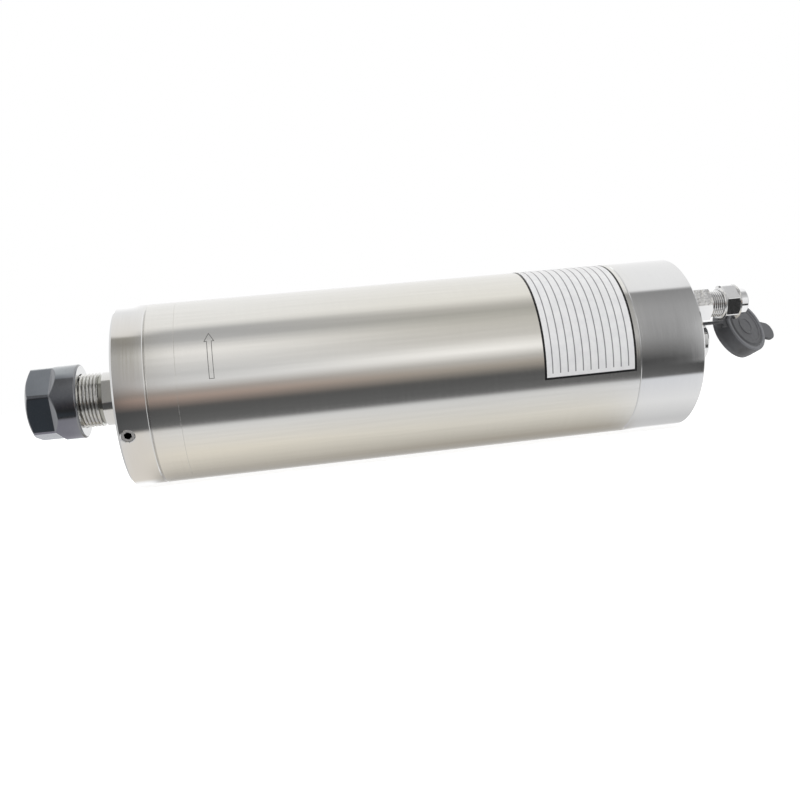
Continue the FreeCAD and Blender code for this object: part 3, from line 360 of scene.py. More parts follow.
class Graph:
    """A material's nodes, with short calls for the few kinds of node that the finishes use."""

    def __init__(self, name, color, metallic, roughness, specular=0.5, coat=0.0, coat_roughness=0.1):
        self.material = bpy.data.materials.new(name)
        self.material.use_nodes = True
        self.tree = self.material.node_tree
        self.inputs = self.tree.nodes["Principled BSDF"].inputs
        self.inputs["Base Color"].default_value = (*color, 1.0)
        self.inputs["Metallic"].default_value = metallic
        self.inputs["Roughness"].default_value = roughness
        self.inputs["Specular IOR Level"].default_value = specular
        self.inputs["Coat Weight"].default_value = coat
        self.inputs["Coat Roughness"].default_value = coat_roughness

    def place(self):
        """Object coordinates, split into x, y and z in metres."""
        coordinates = self.tree.nodes.new("ShaderNodeTexCoord")
        split = self.tree.nodes.new("ShaderNodeSeparateXYZ")
        self.tree.links.new(coordinates.outputs["Object"], split.inputs[0])
        return split.outputs[0], split.outputs[1], split.outputs[2]

    def vector(self, x, y, z):
        node = self.tree.nodes.new("ShaderNodeCombineXYZ")
        for socket, value in zip(node.inputs, (x, y, z)):
            feed(self.tree, socket, value)
        return node.outputs[0]

    def noise(self, vector, scale, detail=3.0, roughness=0.55):
        node = self.tree.nodes.new("ShaderNodeTexNoise")
        feed(self.tree, node.inputs["Vector"], vector)
        node.inputs["Scale"].default_value = scale
        node.inputs["Detail"].default_value = detail
        node.inputs["Roughness"].default_value = roughness
        return node.outputs["Fac"]

    def math(self, kind, first, second=0.0):
        return calculated(self.tree, kind, first, second)

    def product(self, first, second):
        return self.math("MULTIPLY", first, second)

    def reach(self, side, rise):
        """Distance from a line along X."""
        return self.math("SQRT", self.math("ADD", self.product(side, side), self.product(rise, rise)))

    def spread(self, value, low, high, out_low, out_high):
        return mapped(self.tree, value, low, high, out_low, out_high)

    def above(self, value, low, high):
        """0 where a length is below the first number of millimetres, 1 where it is above the second."""
        return self.spread(value, low * MM, high * MM, 0.0, 1.0)

    def below(self, value, low, high):
        """1 where a length is below the first number of millimetres, 0 where it is above the second."""
        return self.spread(value, low * MM, high * MM, 1.0, 0.0)

    def between(self, value, start, end, soft=0.1):
        """1 where a length lies between two numbers of millimetres, with soft ends."""
        return self.product(self.above(value, start, start + soft), self.below(value, end - soft, end))

    def blend(self, share, first, second):
        return mixed(self.tree, share, first, second)

    def mottled(self, noise, color, swing, span=CLOUDS):
        """A colour that a noise makes darker and lighter by the same share."""
        share = self.spread(noise, *span, 0.0, 1.0)
        return self.blend(share, tinted(color, 1 - swing), tinted(color, 1 + swing))

    def bump(self, height, distance):
        node = self.tree.nodes.new("ShaderNodeBump")
        node.inputs["Strength"].default_value = 1.0
        node.inputs["Distance"].default_value = distance
        feed(self.tree, node.inputs["Height"], height)
        self.tree.links.new(node.outputs[0], self.inputs["Normal"])

    def paint(self, color, roughness=None):
        feed(self.tree, self.inputs["Base Color"], color)
        if roughness is not None:
            feed(self.tree, self.inputs["Roughness"], roughness)
        return self.material


def tinted(color, share):
    """A colour made darker or lighter by a share."""
    return tuple(min(channel * share, 1.0) for channel in color)


def turned_metal(name, color, roughness, line=0.05, lines=2600.0, height=2e-6, centre=(0.0, 0.0), streak=0.0):
    """Lathe-turned or cylindrically ground metal: fine rings round the axis in colour, roughness and height,
    from noise that is stretched round the axis, faint larger clouding, and wiped streaks along X."""
    graph = Graph(name, color, metallic=1.0, roughness=roughness)
    x, y, z = graph.place()
    side = graph.math("SUBTRACT", centre[0] * MM, y)
    rise = graph.math("SUBTRACT", z, centre[1] * MM)
    angle = graph.math("ARCTAN2", rise, side)
    rings = graph.vector(graph.product(x, lines), graph.product(angle, 1.6), 0.0)
    rings = graph.noise(rings, scale=1.0, roughness=0.7)
    clouds = graph.noise(graph.vector(x, y, z), scale=38.0, detail=2.0)
    tone = graph.math("ADD", graph.product(rings, 0.75), graph.product(clouds, 0.25))
    graph.bump(rings, height)
    steel = graph.mottled(tone, color, line, RINGS)
    if streak:
        wiped = graph.vector(graph.product(x, 14.0), graph.product(angle, 26.0), 0.0)
        wiped = graph.noise(wiped, scale=1.0, roughness=0.6)
        steel = graph.blend(graph.spread(wiped, *CLOUDS, streak, 0.0), steel, tinted(color, 0.6))
    return graph.paint(steel, graph.spread(rings, *RINGS, roughness * 0.85, roughness * 1.2))


def grained(name, color, roughness, metallic=0.0, scale=900.0, swing=0.12, height=2e-5):
    """Moulded, cast or oxidised surface: small grain and slow clouding in colour, roughness and height."""
    graph = Graph(name, color, metallic, roughness)
    place = graph.vector(*graph.place())
    grain = graph.noise(place, scale, detail=4.0, roughness=0.6)
    clouds = graph.noise(place, scale=70.0)
    tone = graph.math("ADD", graph.product(grain, 0.5), graph.product(clouds, 0.5))
    graph.bump(grain, height)
    return graph.paint(graph.mottled(tone, color, swing),
                       graph.spread(tone, *CLOUDS, roughness * 0.88, roughness * 1.12))


def socketed(name, color, roughness):
    """Turned screws and rings of plain steel, with painted shade: inside the radial screws' hexagon sockets,
    below their faces, the steel is painted near-black."""
    graph = Graph(name, color, metallic=1.0, roughness=roughness)
    x, y, z = graph.place()
    reach = graph.reach(y, z)
    grain = graph.noise(graph.vector(x, y, z), scale=2400.0)
    # painted shade: near-black inside the hexagon sockets, where the recess is shaded
    socket_shade = graph.product(graph.above(reach, 36.5, 36.6), graph.below(reach, 38.9, 39.2))
    steel = graph.mottled(grain, color, 0.15)
    graph.bump(grain, 4e-6)
    return graph.paint(graph.blend(socket_shade, steel, (0.004, 0.004, 0.004)),
                       graph.spread(grain, *CLOUDS, roughness * 0.85, roughness * 1.15))


def nosed(name, color, roughness):
    """The shaft's turned steel, with painted shade in the nose's thread grooves and relief, and darker milled
    flats.
    """
    graph = Graph(name, color, metallic=1.0, roughness=roughness)
    x, y, z = graph.place()
    reach = graph.reach(y, z)
    rings = graph.noise(graph.vector(graph.product(x, 3000.0), 0.0, 0.0), scale=1.0, roughness=0.7)
    on_thread = graph.between(x, NOSE_THREAD[0] - 0.2, NOSE_RELIEF[0])
    # painted shade: the thread grooves and the relief are darkened where shade falls
    groove_shade = graph.product(graph.below(reach, 11.05, 11.33), on_thread)
    relief_shade = graph.between(x, NOSE_RELIEF[0] - 0.1, NOSE_RELIEF[1])
    behind_relief = graph.between(x, NOSE_RELIEF[1] - 0.1, NOSE_END - 0.4)
    on_flat = graph.product(graph.below(reach, NOSE_RADIUS - 0.07, NOSE_RADIUS - 0.03), behind_relief)
    steel = graph.mottled(rings, color, 0.05)
    steel = graph.blend(graph.product(groove_shade, 0.7), steel, (0.16, 0.155, 0.13))
    steel = graph.blend(graph.product(relief_shade, 0.6), steel, (0.16, 0.16, 0.11))
    steel = graph.blend(graph.product(on_flat, 0.5), steel, (0.3, 0.3, 0.28))
    graph.bump(rings, 1.5e-6)
    return graph.paint(steel, graph.spread(rings, *RINGS, roughness * 0.85, roughness * 1.2))


def blackened(name, color):
    """The collet nut's black oxide, with its rear face ground bright."""
    graph = Graph(name, color, metallic=1.0, roughness=0.13)
    x, y, z = graph.place()
    place = graph.vector(x, y, z)
    grain = graph.noise(place, scale=1500.0, detail=4.0, roughness=0.6)
    oxide = graph.mottled(graph.noise(place, scale=90.0), color, 0.06)
    on_rear_face = graph.above(x, NUT_REAR - 0.03, NUT_REAR - 0.01)
    graph.bump(grain, 1.5e-6)
    return graph.paint(graph.blend(on_rear_face, oxide, (0.74, 0.745, 0.75)),
                       graph.spread(grain, *CLOUDS, 0.11, 0.15))


def frosted(name, color, centre):
    """A plated casting: a hexagon that is lumpy on its upper side, where the lumps are also painted darker as
    painted shade, and a thread with painted shade in its grooves.
    """
    graph = Graph(name, color, metallic=1.0, roughness=0.14)
    x, y, z = graph.place()
    side = graph.math("SUBTRACT", y, centre[0] * MM)
    rise = graph.math("SUBTRACT", z, centre[1] * MM)
    reach = graph.reach(side, rise)
    on_cast = graph.product(graph.above(reach, 6.2, 6.6), graph.above(rise, -1.1, -0.6))
    # painted shade: the thread grooves are darkened
    groove_shade = graph.product(graph.below(reach, 5.55, 5.8), graph.above(x, 139.8, 139.9))
    lumps = graph.noise(graph.vector(x, y, z), scale=850.0, roughness=0.6)
    graph.bump(graph.product(lumps, on_cast), 4e-4)
    # painted shade: the lumps are darkened on the upper side only, where the hexagon's top is shaded
    lump_shade = graph.product(graph.spread(lumps, 0.4, 0.6, 0.6, 0.0), on_cast)
    plating = graph.blend(lump_shade, color, (0.42, 0.42, 0.44))
    return graph.paint(graph.blend(graph.product(groove_shade, 0.65), plating, (0.16, 0.16, 0.16)),
                       graph.spread(on_cast, 0.0, 1.0, 0.1, 0.18))


def laminated(name, color):
    """Stacked sheets: thin dark lines across X, half a millimetre apart."""
    graph = Graph(name, color, metallic=0.9, roughness=0.45)
    x = graph.place()[0]
    line = graph.above(graph.math("PINGPONG", x, 0.25 * MM), 0.0, 0.06)
    graph.bump(line, 2e-5)
    return graph.paint(graph.blend(line, tinted(color, 0.4), color))


def wound(name, color):
    """Enamelled wire laid round the core: fine strands across the winding, slightly uneven."""
    graph = Graph(name, color, metallic=0.9, roughness=0.32, coat=0.6)
    x, y, z = graph.place()
    angle = graph.math("ARCTAN2", z, graph.product(y, -1.0))
    wave = graph.product(graph.math("SINE", graph.product(angle, 9.0)), 1.6 * MM)
    lay = graph.math("ADD", graph.math("ADD", x, graph.reach(y, z)), wave)
    ridge = graph.above(graph.math("PINGPONG", lay, 0.4 * MM), 0.0, 0.4)
    graph.bump(ridge, 2e-4)
    return graph.paint(graph.blend(ridge, tinted(color, 0.45), tinted(color, 1.1)))


def cap_place():
    """The cap's place: swung open about its hinge, moved to the strap's end and turned to its side."""
    swing = Matrix.Rotation(CAP_OPEN, 4, Vector((0, -1, 0)))
    to_hinge = Matrix.Translation(Vector((HINGE_X, 0, HINGE_REACH)))
    to_side = Matrix.Rotation(math.pi / 2 - STRAP_ANGLE, 4, Vector((1, 0, 0)))
    return np.array(to_side @ to_hinge @ swing)


def moulded_cap(name, color):
    """Black moulded rubber, with painted highlights: paler on the cap's raised rim and near its mouth; places
    are taken in the closed cap's own lines."""
    graph = Graph(name, color, metallic=0.0, roughness=0.45)
    x, y, z = graph.place()
    lines = []
    for row in np.linalg.inv(cap_place())[:3]:
        part = graph.math("ADD", graph.product(x, float(row[0])), graph.product(y, float(row[1])))
        part = graph.math("ADD", part, graph.product(z, float(row[2])))
        lines.append(graph.math("ADD", part, float(row[3]) * MM))
    along, across, drop = lines
    reach = graph.reach(across, graph.math("ADD", drop, HINGE_REACH * MM))
    grain = graph.noise(graph.vector(x, y, z), scale=1600.0, detail=4.0, roughness=0.6)
    clouds = graph.noise(graph.vector(x, y, z), scale=260.0)
    # painted highlights: the raised rim and the wall near the mouth are painted paler
    rim_highlight = graph.product(graph.above(reach, 11.2, 11.6), graph.above(along, 1.7, 2.1))
    rim_highlight = graph.product(rim_highlight, graph.below(reach, CAP_RADIUS, CAP_RADIUS + 0.4))
    mouth_highlight = graph.spread(along, -5.2 * MM, -3.5 * MM, 0.6, 0.0)
    graph.bump(grain, 2.2e-5)
    rubber = graph.blend(graph.math("MAXIMUM", rim_highlight, mouth_highlight), graph.mottled(clouds, color, 0.12),
                         tinted(color, 1.9))
    return graph.paint(rubber, graph.spread(grain, *CLOUDS, 0.4, 0.5))


def plate_paper():
    """White film with a black border and thin blank ruled lines that run round the body."""
    graph = Graph("plate_film", (0.74, 0.74, 0.75), metallic=0.0, roughness=0.35, specular=0.35, coat=0.08,
                  coat_roughness=0.2)
    x, y, z = graph.place()
    angle = graph.math("ARCTAN2", z, graph.product(y, -1.0))
    round_place = graph.product(angle, BODY_RADIUS * MM)
    from_front = graph.math("SUBTRACT", x, PLATE_X[0] * MM)
    from_rear = graph.math("SUBTRACT", PLATE_X[1] * MM, x)
    from_low = graph.math("SUBTRACT", round_place, PLATE_ANGLES[0] * BODY_RADIUS * MM)
    from_high = graph.math("SUBTRACT", PLATE_ANGLES[1] * BODY_RADIUS * MM, round_place)
    edge = graph.math("MINIMUM", graph.math("MINIMUM", from_front, from_rear),
                      graph.math("MINIMUM", from_low, from_high))
    border = graph.below(edge, PLATE_BORDER - 0.04, PLATE_BORDER + 0.04)
    beat = graph.math("SUBTRACT", from_front, PLATE_FIRST_LINE * MM)
    line = graph.below(graph.math("PINGPONG", beat, PLATE_LINE_STEP / 2 * MM), 0.2, 0.3)
    line = graph.product(line, graph.above(edge, PLATE_MARGIN, PLATE_MARGIN + 0.1))
    mottling = graph.noise(graph.vector(x, y, z), scale=260.0)
    paper = graph.blend(graph.spread(mottling, *CLOUDS, 0.0, 1.0), (0.72, 0.72, 0.73), (0.77, 0.77, 0.775))
    ruled = graph.blend(graph.product(line, 0.85), paper, (0.12, 0.12, 0.13))
    return graph.paint(graph.blend(border, ruled, (0.006, 0.006, 0.007)),
                       graph.spread(mottling, *CLOUDS, 0.3, 0.42))


# After its colour and roughness a turned metal has its swing in colour, its rings for each metre and their
# height in metres, and a grained finish its metallic share, its grain for each metre, its swing and height.

finishes = {name: maker(name, *values) for name, (maker, *values) in {
    "ground_steel": (turned_metal, (0.83, 0.825, 0.81), 0.135, 0.022, 2600.0, 2e-6, (0.0, 0.0), 0.08),
    "polished_steel": (turned_metal, (0.80, 0.80, 0.80), 0.09, 0.02, 1800.0, 6e-7),
    "bearing_steel": (turned_metal, (0.72, 0.72, 0.74), 0.12, 0.03),
    "shaft_steel": (nosed, (0.78, 0.775, 0.76), 0.1),
    "black_oxide_steel": (grained, (0.29, 0.297, 0.315), 0.13, 1.0, 1500.0, 0.05, 1.5e-6),
    "socket_screw_steel": (grained, (0.06, 0.06, 0.065), 0.38, 0.8, 1500.0, 0.2, 1e-5),
    "bright_steel": (socketed, (0.5, 0.495, 0.49), 0.28),
    "spring_steel": (grained, (0.32, 0.32, 0.33), 0.3, 1.0, 1200.0, 0.12, 8e-6),
    "jacket_aluminium": (turned_metal, (0.72, 0.73, 0.74), 0.3, 0.06, 1500.0, 6e-6),
    "core_steel": (laminated, (0.30, 0.30, 0.32)),
    "rotor_aluminium": (grained, (0.62, 0.63, 0.65), 0.42, 1.0, 700.0, 0.1, 2e-5),
    "copper": (wound, (0.72, 0.36, 0.18)),
    "contact_brass": (turned_metal, (0.83, 0.62, 0.27), 0.2, 0.04),
    "plated_brass": (turned_metal, (0.86, 0.86, 0.855), 0.1, 0.03, 2200.0, 8e-7),
    "cage_plastic": (grained, (0.36, 0.25, 0.15), 0.5, 0.0, 1400.0, 0.15, 2e-5),
    "insulator": (grained, (0.035, 0.035, 0.04), 0.42, 0.0, 1200.0, 0.15, 1e-5),
    "wire_insulation": (grained, (0.50, 0.05, 0.04), 0.35, 0.0, 1500.0, 0.08, 5e-6),
    "seal_rubber": (grained, (0.03, 0.03, 0.03), 0.6, 0.0, 1500.0, 0.2, 1e-5),
    "cap_rubber": (grained, CAP_RUBBER, 0.45, 0.0, 1600.0, 0.14, 2.2e-5),
}.items()}


def finish_nodes():
    """Every carried-over node gets the procedural finish of its own slot."""
    for entry in frame["record"]["subparts"]:
        node = nodes[entry["node"]]
        node.data.materials.clear()
        node.data.materials.append(finishes[entry["material_slot"]])


def dressed(piece, slot_name, body, *replaced, finish=None):
    """Give a new piece its finish, its body and the nodes that it stands for."""
    piece.data.materials.append(finish or finishes[slot_name])
    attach(piece, body)
    if replaced:
        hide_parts(*replaced)


# Shaft and collet nut

def shaft_radius(x, angle, radius):
    """The nose's radius: the profile less the thread, cut back to the two flats where those reach."""
    on_nose = (radius > NOSE_RADIUS - 0.1) & (radius < NOSE_RADIUS + 0.1)
    on_thread = (x > NOSE_THREAD[0]) & (x < NOSE_THREAD[1])
    drop = thread_drop(x, angle, NOSE_THREAD_PITCH, NOSE_THREAD, NOSE_THREAD_DEPTH)
    radius = np.where(on_nose & on_thread, radius - drop, radius)
    reach = np.where(x < NOSE_THREAD[1] + 0.05, NOSE_THREAD_FLAT, NOSE_FLAT_REACH)
    flat = reach / np.maximum(np.abs(np.cos(angle - NOSE_FLAT_ANGLE)), 0.1)
    in_flats = (x > NOSE_FLATS[0]) & (x < NOSE_FLATS[1]) & (radius > NOSE_RELIEF_RADIUS - 0.3)
    return np.where(in_flats, np.minimum(radius, flat), radius)


def shaft():
    """The whole shaft, with its thread and flats at the nose. The flats' ends and the relief's rear edge
    are steep steps between two points of the profile."""
    edge = 0.01
    step = 0.1
    outside = [
        (NOSE_FRONT, COLLET_CONE_MOUTH), (NOSE_FRONT, NOSE_RADIUS - NOSE_BEVEL),
        (NOSE_FRONT + NOSE_BEVEL, NOSE_RADIUS),
        (NOSE_FLATS[0] - edge, NOSE_RADIUS), (NOSE_FLATS[0] + edge, NOSE_RADIUS),
        (NOSE_THREAD[1], NOSE_RADIUS), (NOSE_RELIEF[0], NOSE_RELIEF_RADIUS),
        (NOSE_RELIEF[1] - step, NOSE_RELIEF_RADIUS), (NOSE_RELIEF[1] + step, NOSE_RADIUS),
        (NOSE_FLATS[1] - edge, NOSE_RADIUS), (NOSE_FLATS[1] + edge, NOSE_RADIUS), (NOSE_END, NOSE_RADIUS),
    ]
    for radius, start, end in SHAFT_STEPS:
        outside += [(start, radius), (end, radius)]
    outside += [(SHAFT_END, SHAFT_STEPS[-1][0] - 0.5), (SHAFT_END, 0.0)]
    profile = finely(outside, 0.1, (NOSE_THREAD[0] - 0.6, NOSE_THREAD[1] + 0.1))
    profile = np.concatenate([profile, np.array(COLLET_BORE)])
    piece = turned("spindle_nose_and_shaft", profile, 144, shape=shaft_radius, sharp=35)
    dressed(piece, "shaft_steel", "rotor", "spindle_shaft")


def nut_radius(x, angle, radius):
    """The nut's outside: the lesser of the turned profile and the six flats, which run out behind the
    hexagon."""
    flat = NUT_FLAT + np.maximum(x - NUT_HEX_END, 0) * NUT_RUN_OUT
    hexagon = hexagon_reach(angle, NUT_RIDGE, 1.0) * flat
    return np.where(radius > NUT_WALL, np.minimum(radius, hexagon), radius)


def collet_nut():
    """The black nut: hexagonal in front, round behind, bored through for the collet and the nose."""
    outline = [
        (NUT_FRONT, NUT_MOUTH), (NUT_FRONT, 13.4), (NUT_FRONT + 1.6, NUT_RADIUS - 0.05),
        (NUT_HEX_END, NUT_RADIUS),
        (NUT_REAR - 0.6, NUT_RADIUS), (NUT_REAR, NUT_RADIUS - 0.6), *NUT_INSIDE]
    profile = finely(softened(outline, 0.22), 0.2, (NUT_FRONT - 0.1, NUT_REAR + 0.1))
    piece = turned("collet_nut_body", profile, 288, shape=nut_radius, turn=NUT_RIDGE)
    oxide = blackened("collet_nut_oxide", (0.3, 0.307, 0.325))
    dressed(piece, "black_oxide_steel", "collet_nut", "collet_nut", finish=oxide)


# Water fittings

def chamfered_hexagon(x, angle, radius, corner, span, rim, slope):
    """The bar's radius cut to a hexagon, whose corners are cone-cut at both ends of a span along X."""
    ends = np.minimum(x - span[0], span[1] - x)
    cone = rim + np.maximum(ends, 0) * slope
    hexagon = np.minimum(hexagon_reach(angle, corner, FITTING_FLAT), cone)
    return np.where(radius > FITTING_STOCK - 0.1, hexagon, radius)


def base_shape(corner):
    """Radius rule of a fitting's base: a chamfered hexagon with a thread behind it."""
    def rule(x, angle, radius):
        rim = FITTING_FLAT - 0.05
        radius = chamfered_hexagon(x, angle, radius, corner, FITTING_HEXAGON, rim, math.sqrt(3))
        on_thread = (radius > FITTING_THREAD_RADIUS - 0.05) & (radius < FITTING_THREAD_RADIUS + 0.05)
        on_thread &= x > FITTING_THREAD[0] - 0.1
        drop = thread_drop(x, angle, FITTING_THREAD_PITCH, FITTING_THREAD, FITTING_THREAD_DEPTH)
        return np.where(on_thread, radius - drop, radius)
    return rule


def hose_nut_shape(corner):
    """Radius rule of the small nut: a chamfered hexagon behind a thin round flange."""
    def rule(x, angle, radius):
        return chamfered_hexagon(x, angle, radius, corner, HOSE_NUT, FITTING_FLAT, 1.4)
    return rule


def fitting(label, side, mirror):
    """One water connection: hexagon and thread, the nut on it, and the sleeve that the hose goes into."""
    centre = (side, FITTING_HEIGHT)
    metal = turned_metal("plated_brass_" + label, (0.88, 0.88, 0.885), 0.09, 0.03, 2200.0, 8e-7, centre)
    cast = frosted("frosted_plating_" + label, (0.88, 0.88, 0.88), centre)
    base = [
        (122.0, 3.04), (122.0, 5.0), (FITTING_HEXAGON[0], 5.0), (FITTING_HEXAGON[0], FITTING_STOCK),
        (FITTING_HEXAGON[1], FITTING_STOCK), (FITTING_HEXAGON[1], 5.4),
        (FITTING_THREAD[0], FITTING_THREAD_RADIUS), (147.9, FITTING_THREAD_RADIUS), (148.7, 5.2),
        (150.9, 3.0), (154.2, 3.0), (154.7, 2.5), (154.7, 2.0), (126.0, 2.0), (126.0, 3.04)]
    profile = finely(base, 0.1, (FITTING_HEXAGON[0] - 0.1, FITTING_THREAD[1] + 0.1))
    corner = mirror * FITTING_CORNER
    piece = turned(label + "_fitting_body", profile, 120, centre, base_shape(corner), 25, corner)
    dressed(piece, "plated_brass", "housing", label + "_water_fitting", finish=cast)
    nut = [
        (145.6, 6.06), (145.6, 7.0), (HOSE_NUT[0], 7.1), (HOSE_NUT[0] + 0.2, FITTING_STOCK),
        (HOSE_NUT[1], FITTING_STOCK), (HOSE_NUT[1], 5.0), (151.6, 5.0), (151.6, 6.06)]
    profile = finely(softened(nut, 0.12), 0.15, (145.5, 153.5))
    corner = mirror * HOSE_NUT_CORNER
    piece = turned(label + "_hose_nut", profile, 144, centre, hose_nut_shape(corner), None, corner)
    dressed(piece, "plated_brass", label + "_fitting_nut", label + "_fitting_nut", finish=metal)
    sleeve = [
        (150.05, 4.1), (158.1, 4.1), (158.1, 5.4), (157.6, 5.9), (153.55, 5.9), (153.55, 4.7),
        (151.45, 4.7), (151.45, 5.4), (150.05, 5.4)]
    piece = turned(label + "_hose_collar", softened(sleeve, 0.15), 96, centre)
    dressed(piece, "plated_brass", label + "_hose_sleeve", label + "_hose_sleeve", finish=metal)


# Dust cap and strap

def swung_open(points):
    """The closed cap's points, taken to where the open cap hangs."""
    place = cap_place()
    return points @ place[:3, :3].T + place[:3, 3]


def lug_bar(points):
    """Lay the lug's short bar across the strap, and draw its underside down and up to the cap's rim."""
    across, drop, rise = points.T
    below = np.clip(-rise / 0.6, 0, 1)
    x = drop * (1 + 0.25 * below) + 0.9 * below
    y = across * (1 + 0.5 * below)
    return np.stack([x, y, rise - 1.5 * below], -1)


def tab_outline():
    """The pull tab's outline, across and along: straight sides and a half round end."""
    rim = -HINGE_REACH - CAP_RADIUS
    angle = np.linspace(0, math.pi, 24)
    end = np.stack([CAP_TAB_HALF * np.cos(angle), rim - CAP_TAB_LENGTH - CAP_TAB_HALF * np.sin(angle)], 1)
    return np.concatenate([[(CAP_TAB_HALF, rim + 0.8)], end, [(-CAP_TAB_HALF, rim + 0.8)]])


def rounded_plate(name, outline, low, high, edge):
    """A flat plate across X with rounded rims: rings of the outline, drawn in toward its middle at both
    faces."""
    middle = outline.mean(0)
    away = outline - middle
    reach = np.linalg.norm(away, axis=1, keepdims=True)
    angle = np.linspace(0, math.pi / 2, 5)
    inset = edge * (1 - np.sin(angle))
    rise = edge * (1 - np.cos(angle))
    insets = np.concatenate([[np.inf, 1.6 * edge], inset, inset[::-1], [1.6 * edge, np.inf]])
    levels = np.concatenate([[low, low], low + rise, (high - rise)[::-1], [high, high]])
    rings = []
    for drawn, level in zip(insets, levels):
        share = np.clip(1 - drawn / reach, 0, 1)
        ring = middle + away * share
        rings.append(np.column_stack([np.full(len(ring), level), ring]))
    return write_mesh(name, np.stack(rings), grid_faces(len(rings), len(outline), False, True))


def dust_cap():
    """The rubber cap with a raised rim and plain rings on its face, its pull tab and the lug at its hinge."""
    face = CAP_FACE
    mouth = face - CAP_DEPTH
    cup = [  # from inside the mouth over the face's rings to the outside
        (mouth, 12.0), (face - 2.0, 12.0), (face - 2.0, 0.0), (face - 0.25, 0.0), (face - 0.25, 3.4),
        (face, 3.6), (face, 4.6), (face - 0.3, 4.8), (face - 0.3, 8.8), (face - 0.05, 9.0),
        (face - 0.05, 9.8), (face - 0.5, 10.4), (face - 0.5, 11.3), (face, 11.6), (face, 13.0),
        (face - 0.6, CAP_RADIUS), (mouth + 2.0, CAP_RADIUS), (mouth, 13.2)]
    cap = turned("dust_cap_cup", softened(cup, 0.25), 144, (0.0, -HINGE_REACH))
    reshaped(cap, swung_open)
    dressed(cap, "cap_rubber", "dust_cap", "dust_cap", finish=moulded_cap("dust_cap_rubber", CAP_RUBBER))
    tab = rounded_plate("dust_cap_tab", tab_outline(), face - 2.3, face - 0.5, 0.4)
    reshaped(tab, swung_open)
    dressed(tab, "cap_rubber", "dust_cap")
    bar = [(-1.7, 0.0), (1.7, 0.0), (1.7, 0.8), (-1.7, 0.8)]
    lug = turned("dust_cap_lug", softened(bar, 0.25), 24)
    reshaped(lug, lug_bar)
    reshaped(lug, swung_open)
    dressed(lug, "cap_rubber", "dust_cap")


def eased(value):
    """A value held between 0 and 1 that leaves the one and nears the other gently."""
    t = np.clip(value, 0, 1)
    return t * t * (3 - 2 * t)


def squared_off(value):
    """A sine or cosine pulled toward its ends, so that a circle becomes a rounded rectangle."""
    return np.sign(value) * np.abs(value) ** 0.5


def strap():
    """The ring round the socket, and the band to the cap, which turns edge-on between its two ends."""
    piece = turned("cap_strap_ring", softened(SOCKET_RING, 0.3), 96)
    dressed(piece, "cap_rubber", "housing", "cap_strap")
    along = np.linspace(0, 1, 40)[:, None]
    corner = np.linspace(0, TURN, 24, endpoint=False)[None, :]
    x = STRAP_START + along * STRAP_LENGTH
    turned_on = eased((along - 0.04) / 0.26)
    narrowed = 1 - eased((1.0 - along) / 0.16)
    twist = STRAP_TWIST * turned_on
    across = (STRAP_HALF_WIDTH - 0.5 * turned_on - 0.7 * narrowed) * squared_off(np.cos(corner))
    thick = STRAP_HALF_THICKNESS * squared_off(np.sin(corner))
    reach = HINGE_REACH + STRAP_RISE * eased(along / 0.5)
    u = across * np.cos(twist) - thick * np.sin(twist)
    v = reach + across * np.sin(twist) + thick * np.cos(twist)
    cos_side, sin_side = math.cos(STRAP_ANGLE), math.sin(STRAP_ANGLE)
    y = -v * cos_side + u * sin_side
    z = v * sin_side + u * cos_side
    points = np.stack([np.broadcast_to(x, y.shape), y, z], -1)
    start, end = (np.broadcast_to(row.mean(1, keepdims=True), row.shape) for row in (points[:1], points[-1:]))
    points = np.concatenate([start, points, end])
    piece = write_mesh("cap_strap_band", points, grid_faces(len(points), 24, False, True), 50)
    dressed(piece, "cap_rubber", "housing")


# Plate and arrow on the sleeve

def wrapped(name, x_range, angle_range, low, high, columns=120, rows=16):
    """A thin sheet round X: an inner and an outer layer of a grid of place along X and angle, closed at the
    rims."""
    x = np.linspace(*x_range, rows)[:, None]
    angle = np.linspace(*angle_range, columns)[None, :]
    layers = [np.stack(np.broadcast_arrays(x, -radius * np.cos(angle), radius * np.sin(angle)), -1)
              for radius in (low, high)]
    below = grid_faces(rows, columns)[:, ::-1]
    above = grid_faces(rows, columns) + rows * columns
    rim = np.concatenate([
        np.arange(columns), np.arange(2 * columns - 1, rows * columns, columns),
        np.arange(rows * columns - 2, (rows - 1) * columns - 1, -1),
        np.arange((rows - 2) * columns, 0, -columns)])
    following = np.roll(rim, -1)
    wall = np.stack([rim, following, following + rows * columns, rim + rows * columns], 1)
    return write_mesh(name, np.stack(layers), np.concatenate([below, above, wall]), 40)


def rating_plate():
    """The blank plate that is wrapped over the rear of the sleeve."""
    low = BODY_RADIUS + PLATE_LIFT
    piece = wrapped("blank_plate", PLATE_X, PLATE_ANGLES, low, low + PLATE_THICKNESS)
    dressed(piece, "ground_steel", "housing", finish=plate_paper())


def divided(outline, count):
    """A closed outline with points at even shares of each side."""
    steps = np.linspace(0, 1, count)[:, None]
    return np.concatenate([a + (b - a) * steps for a, b in zip(outline, np.roll(outline, -1, 0))])


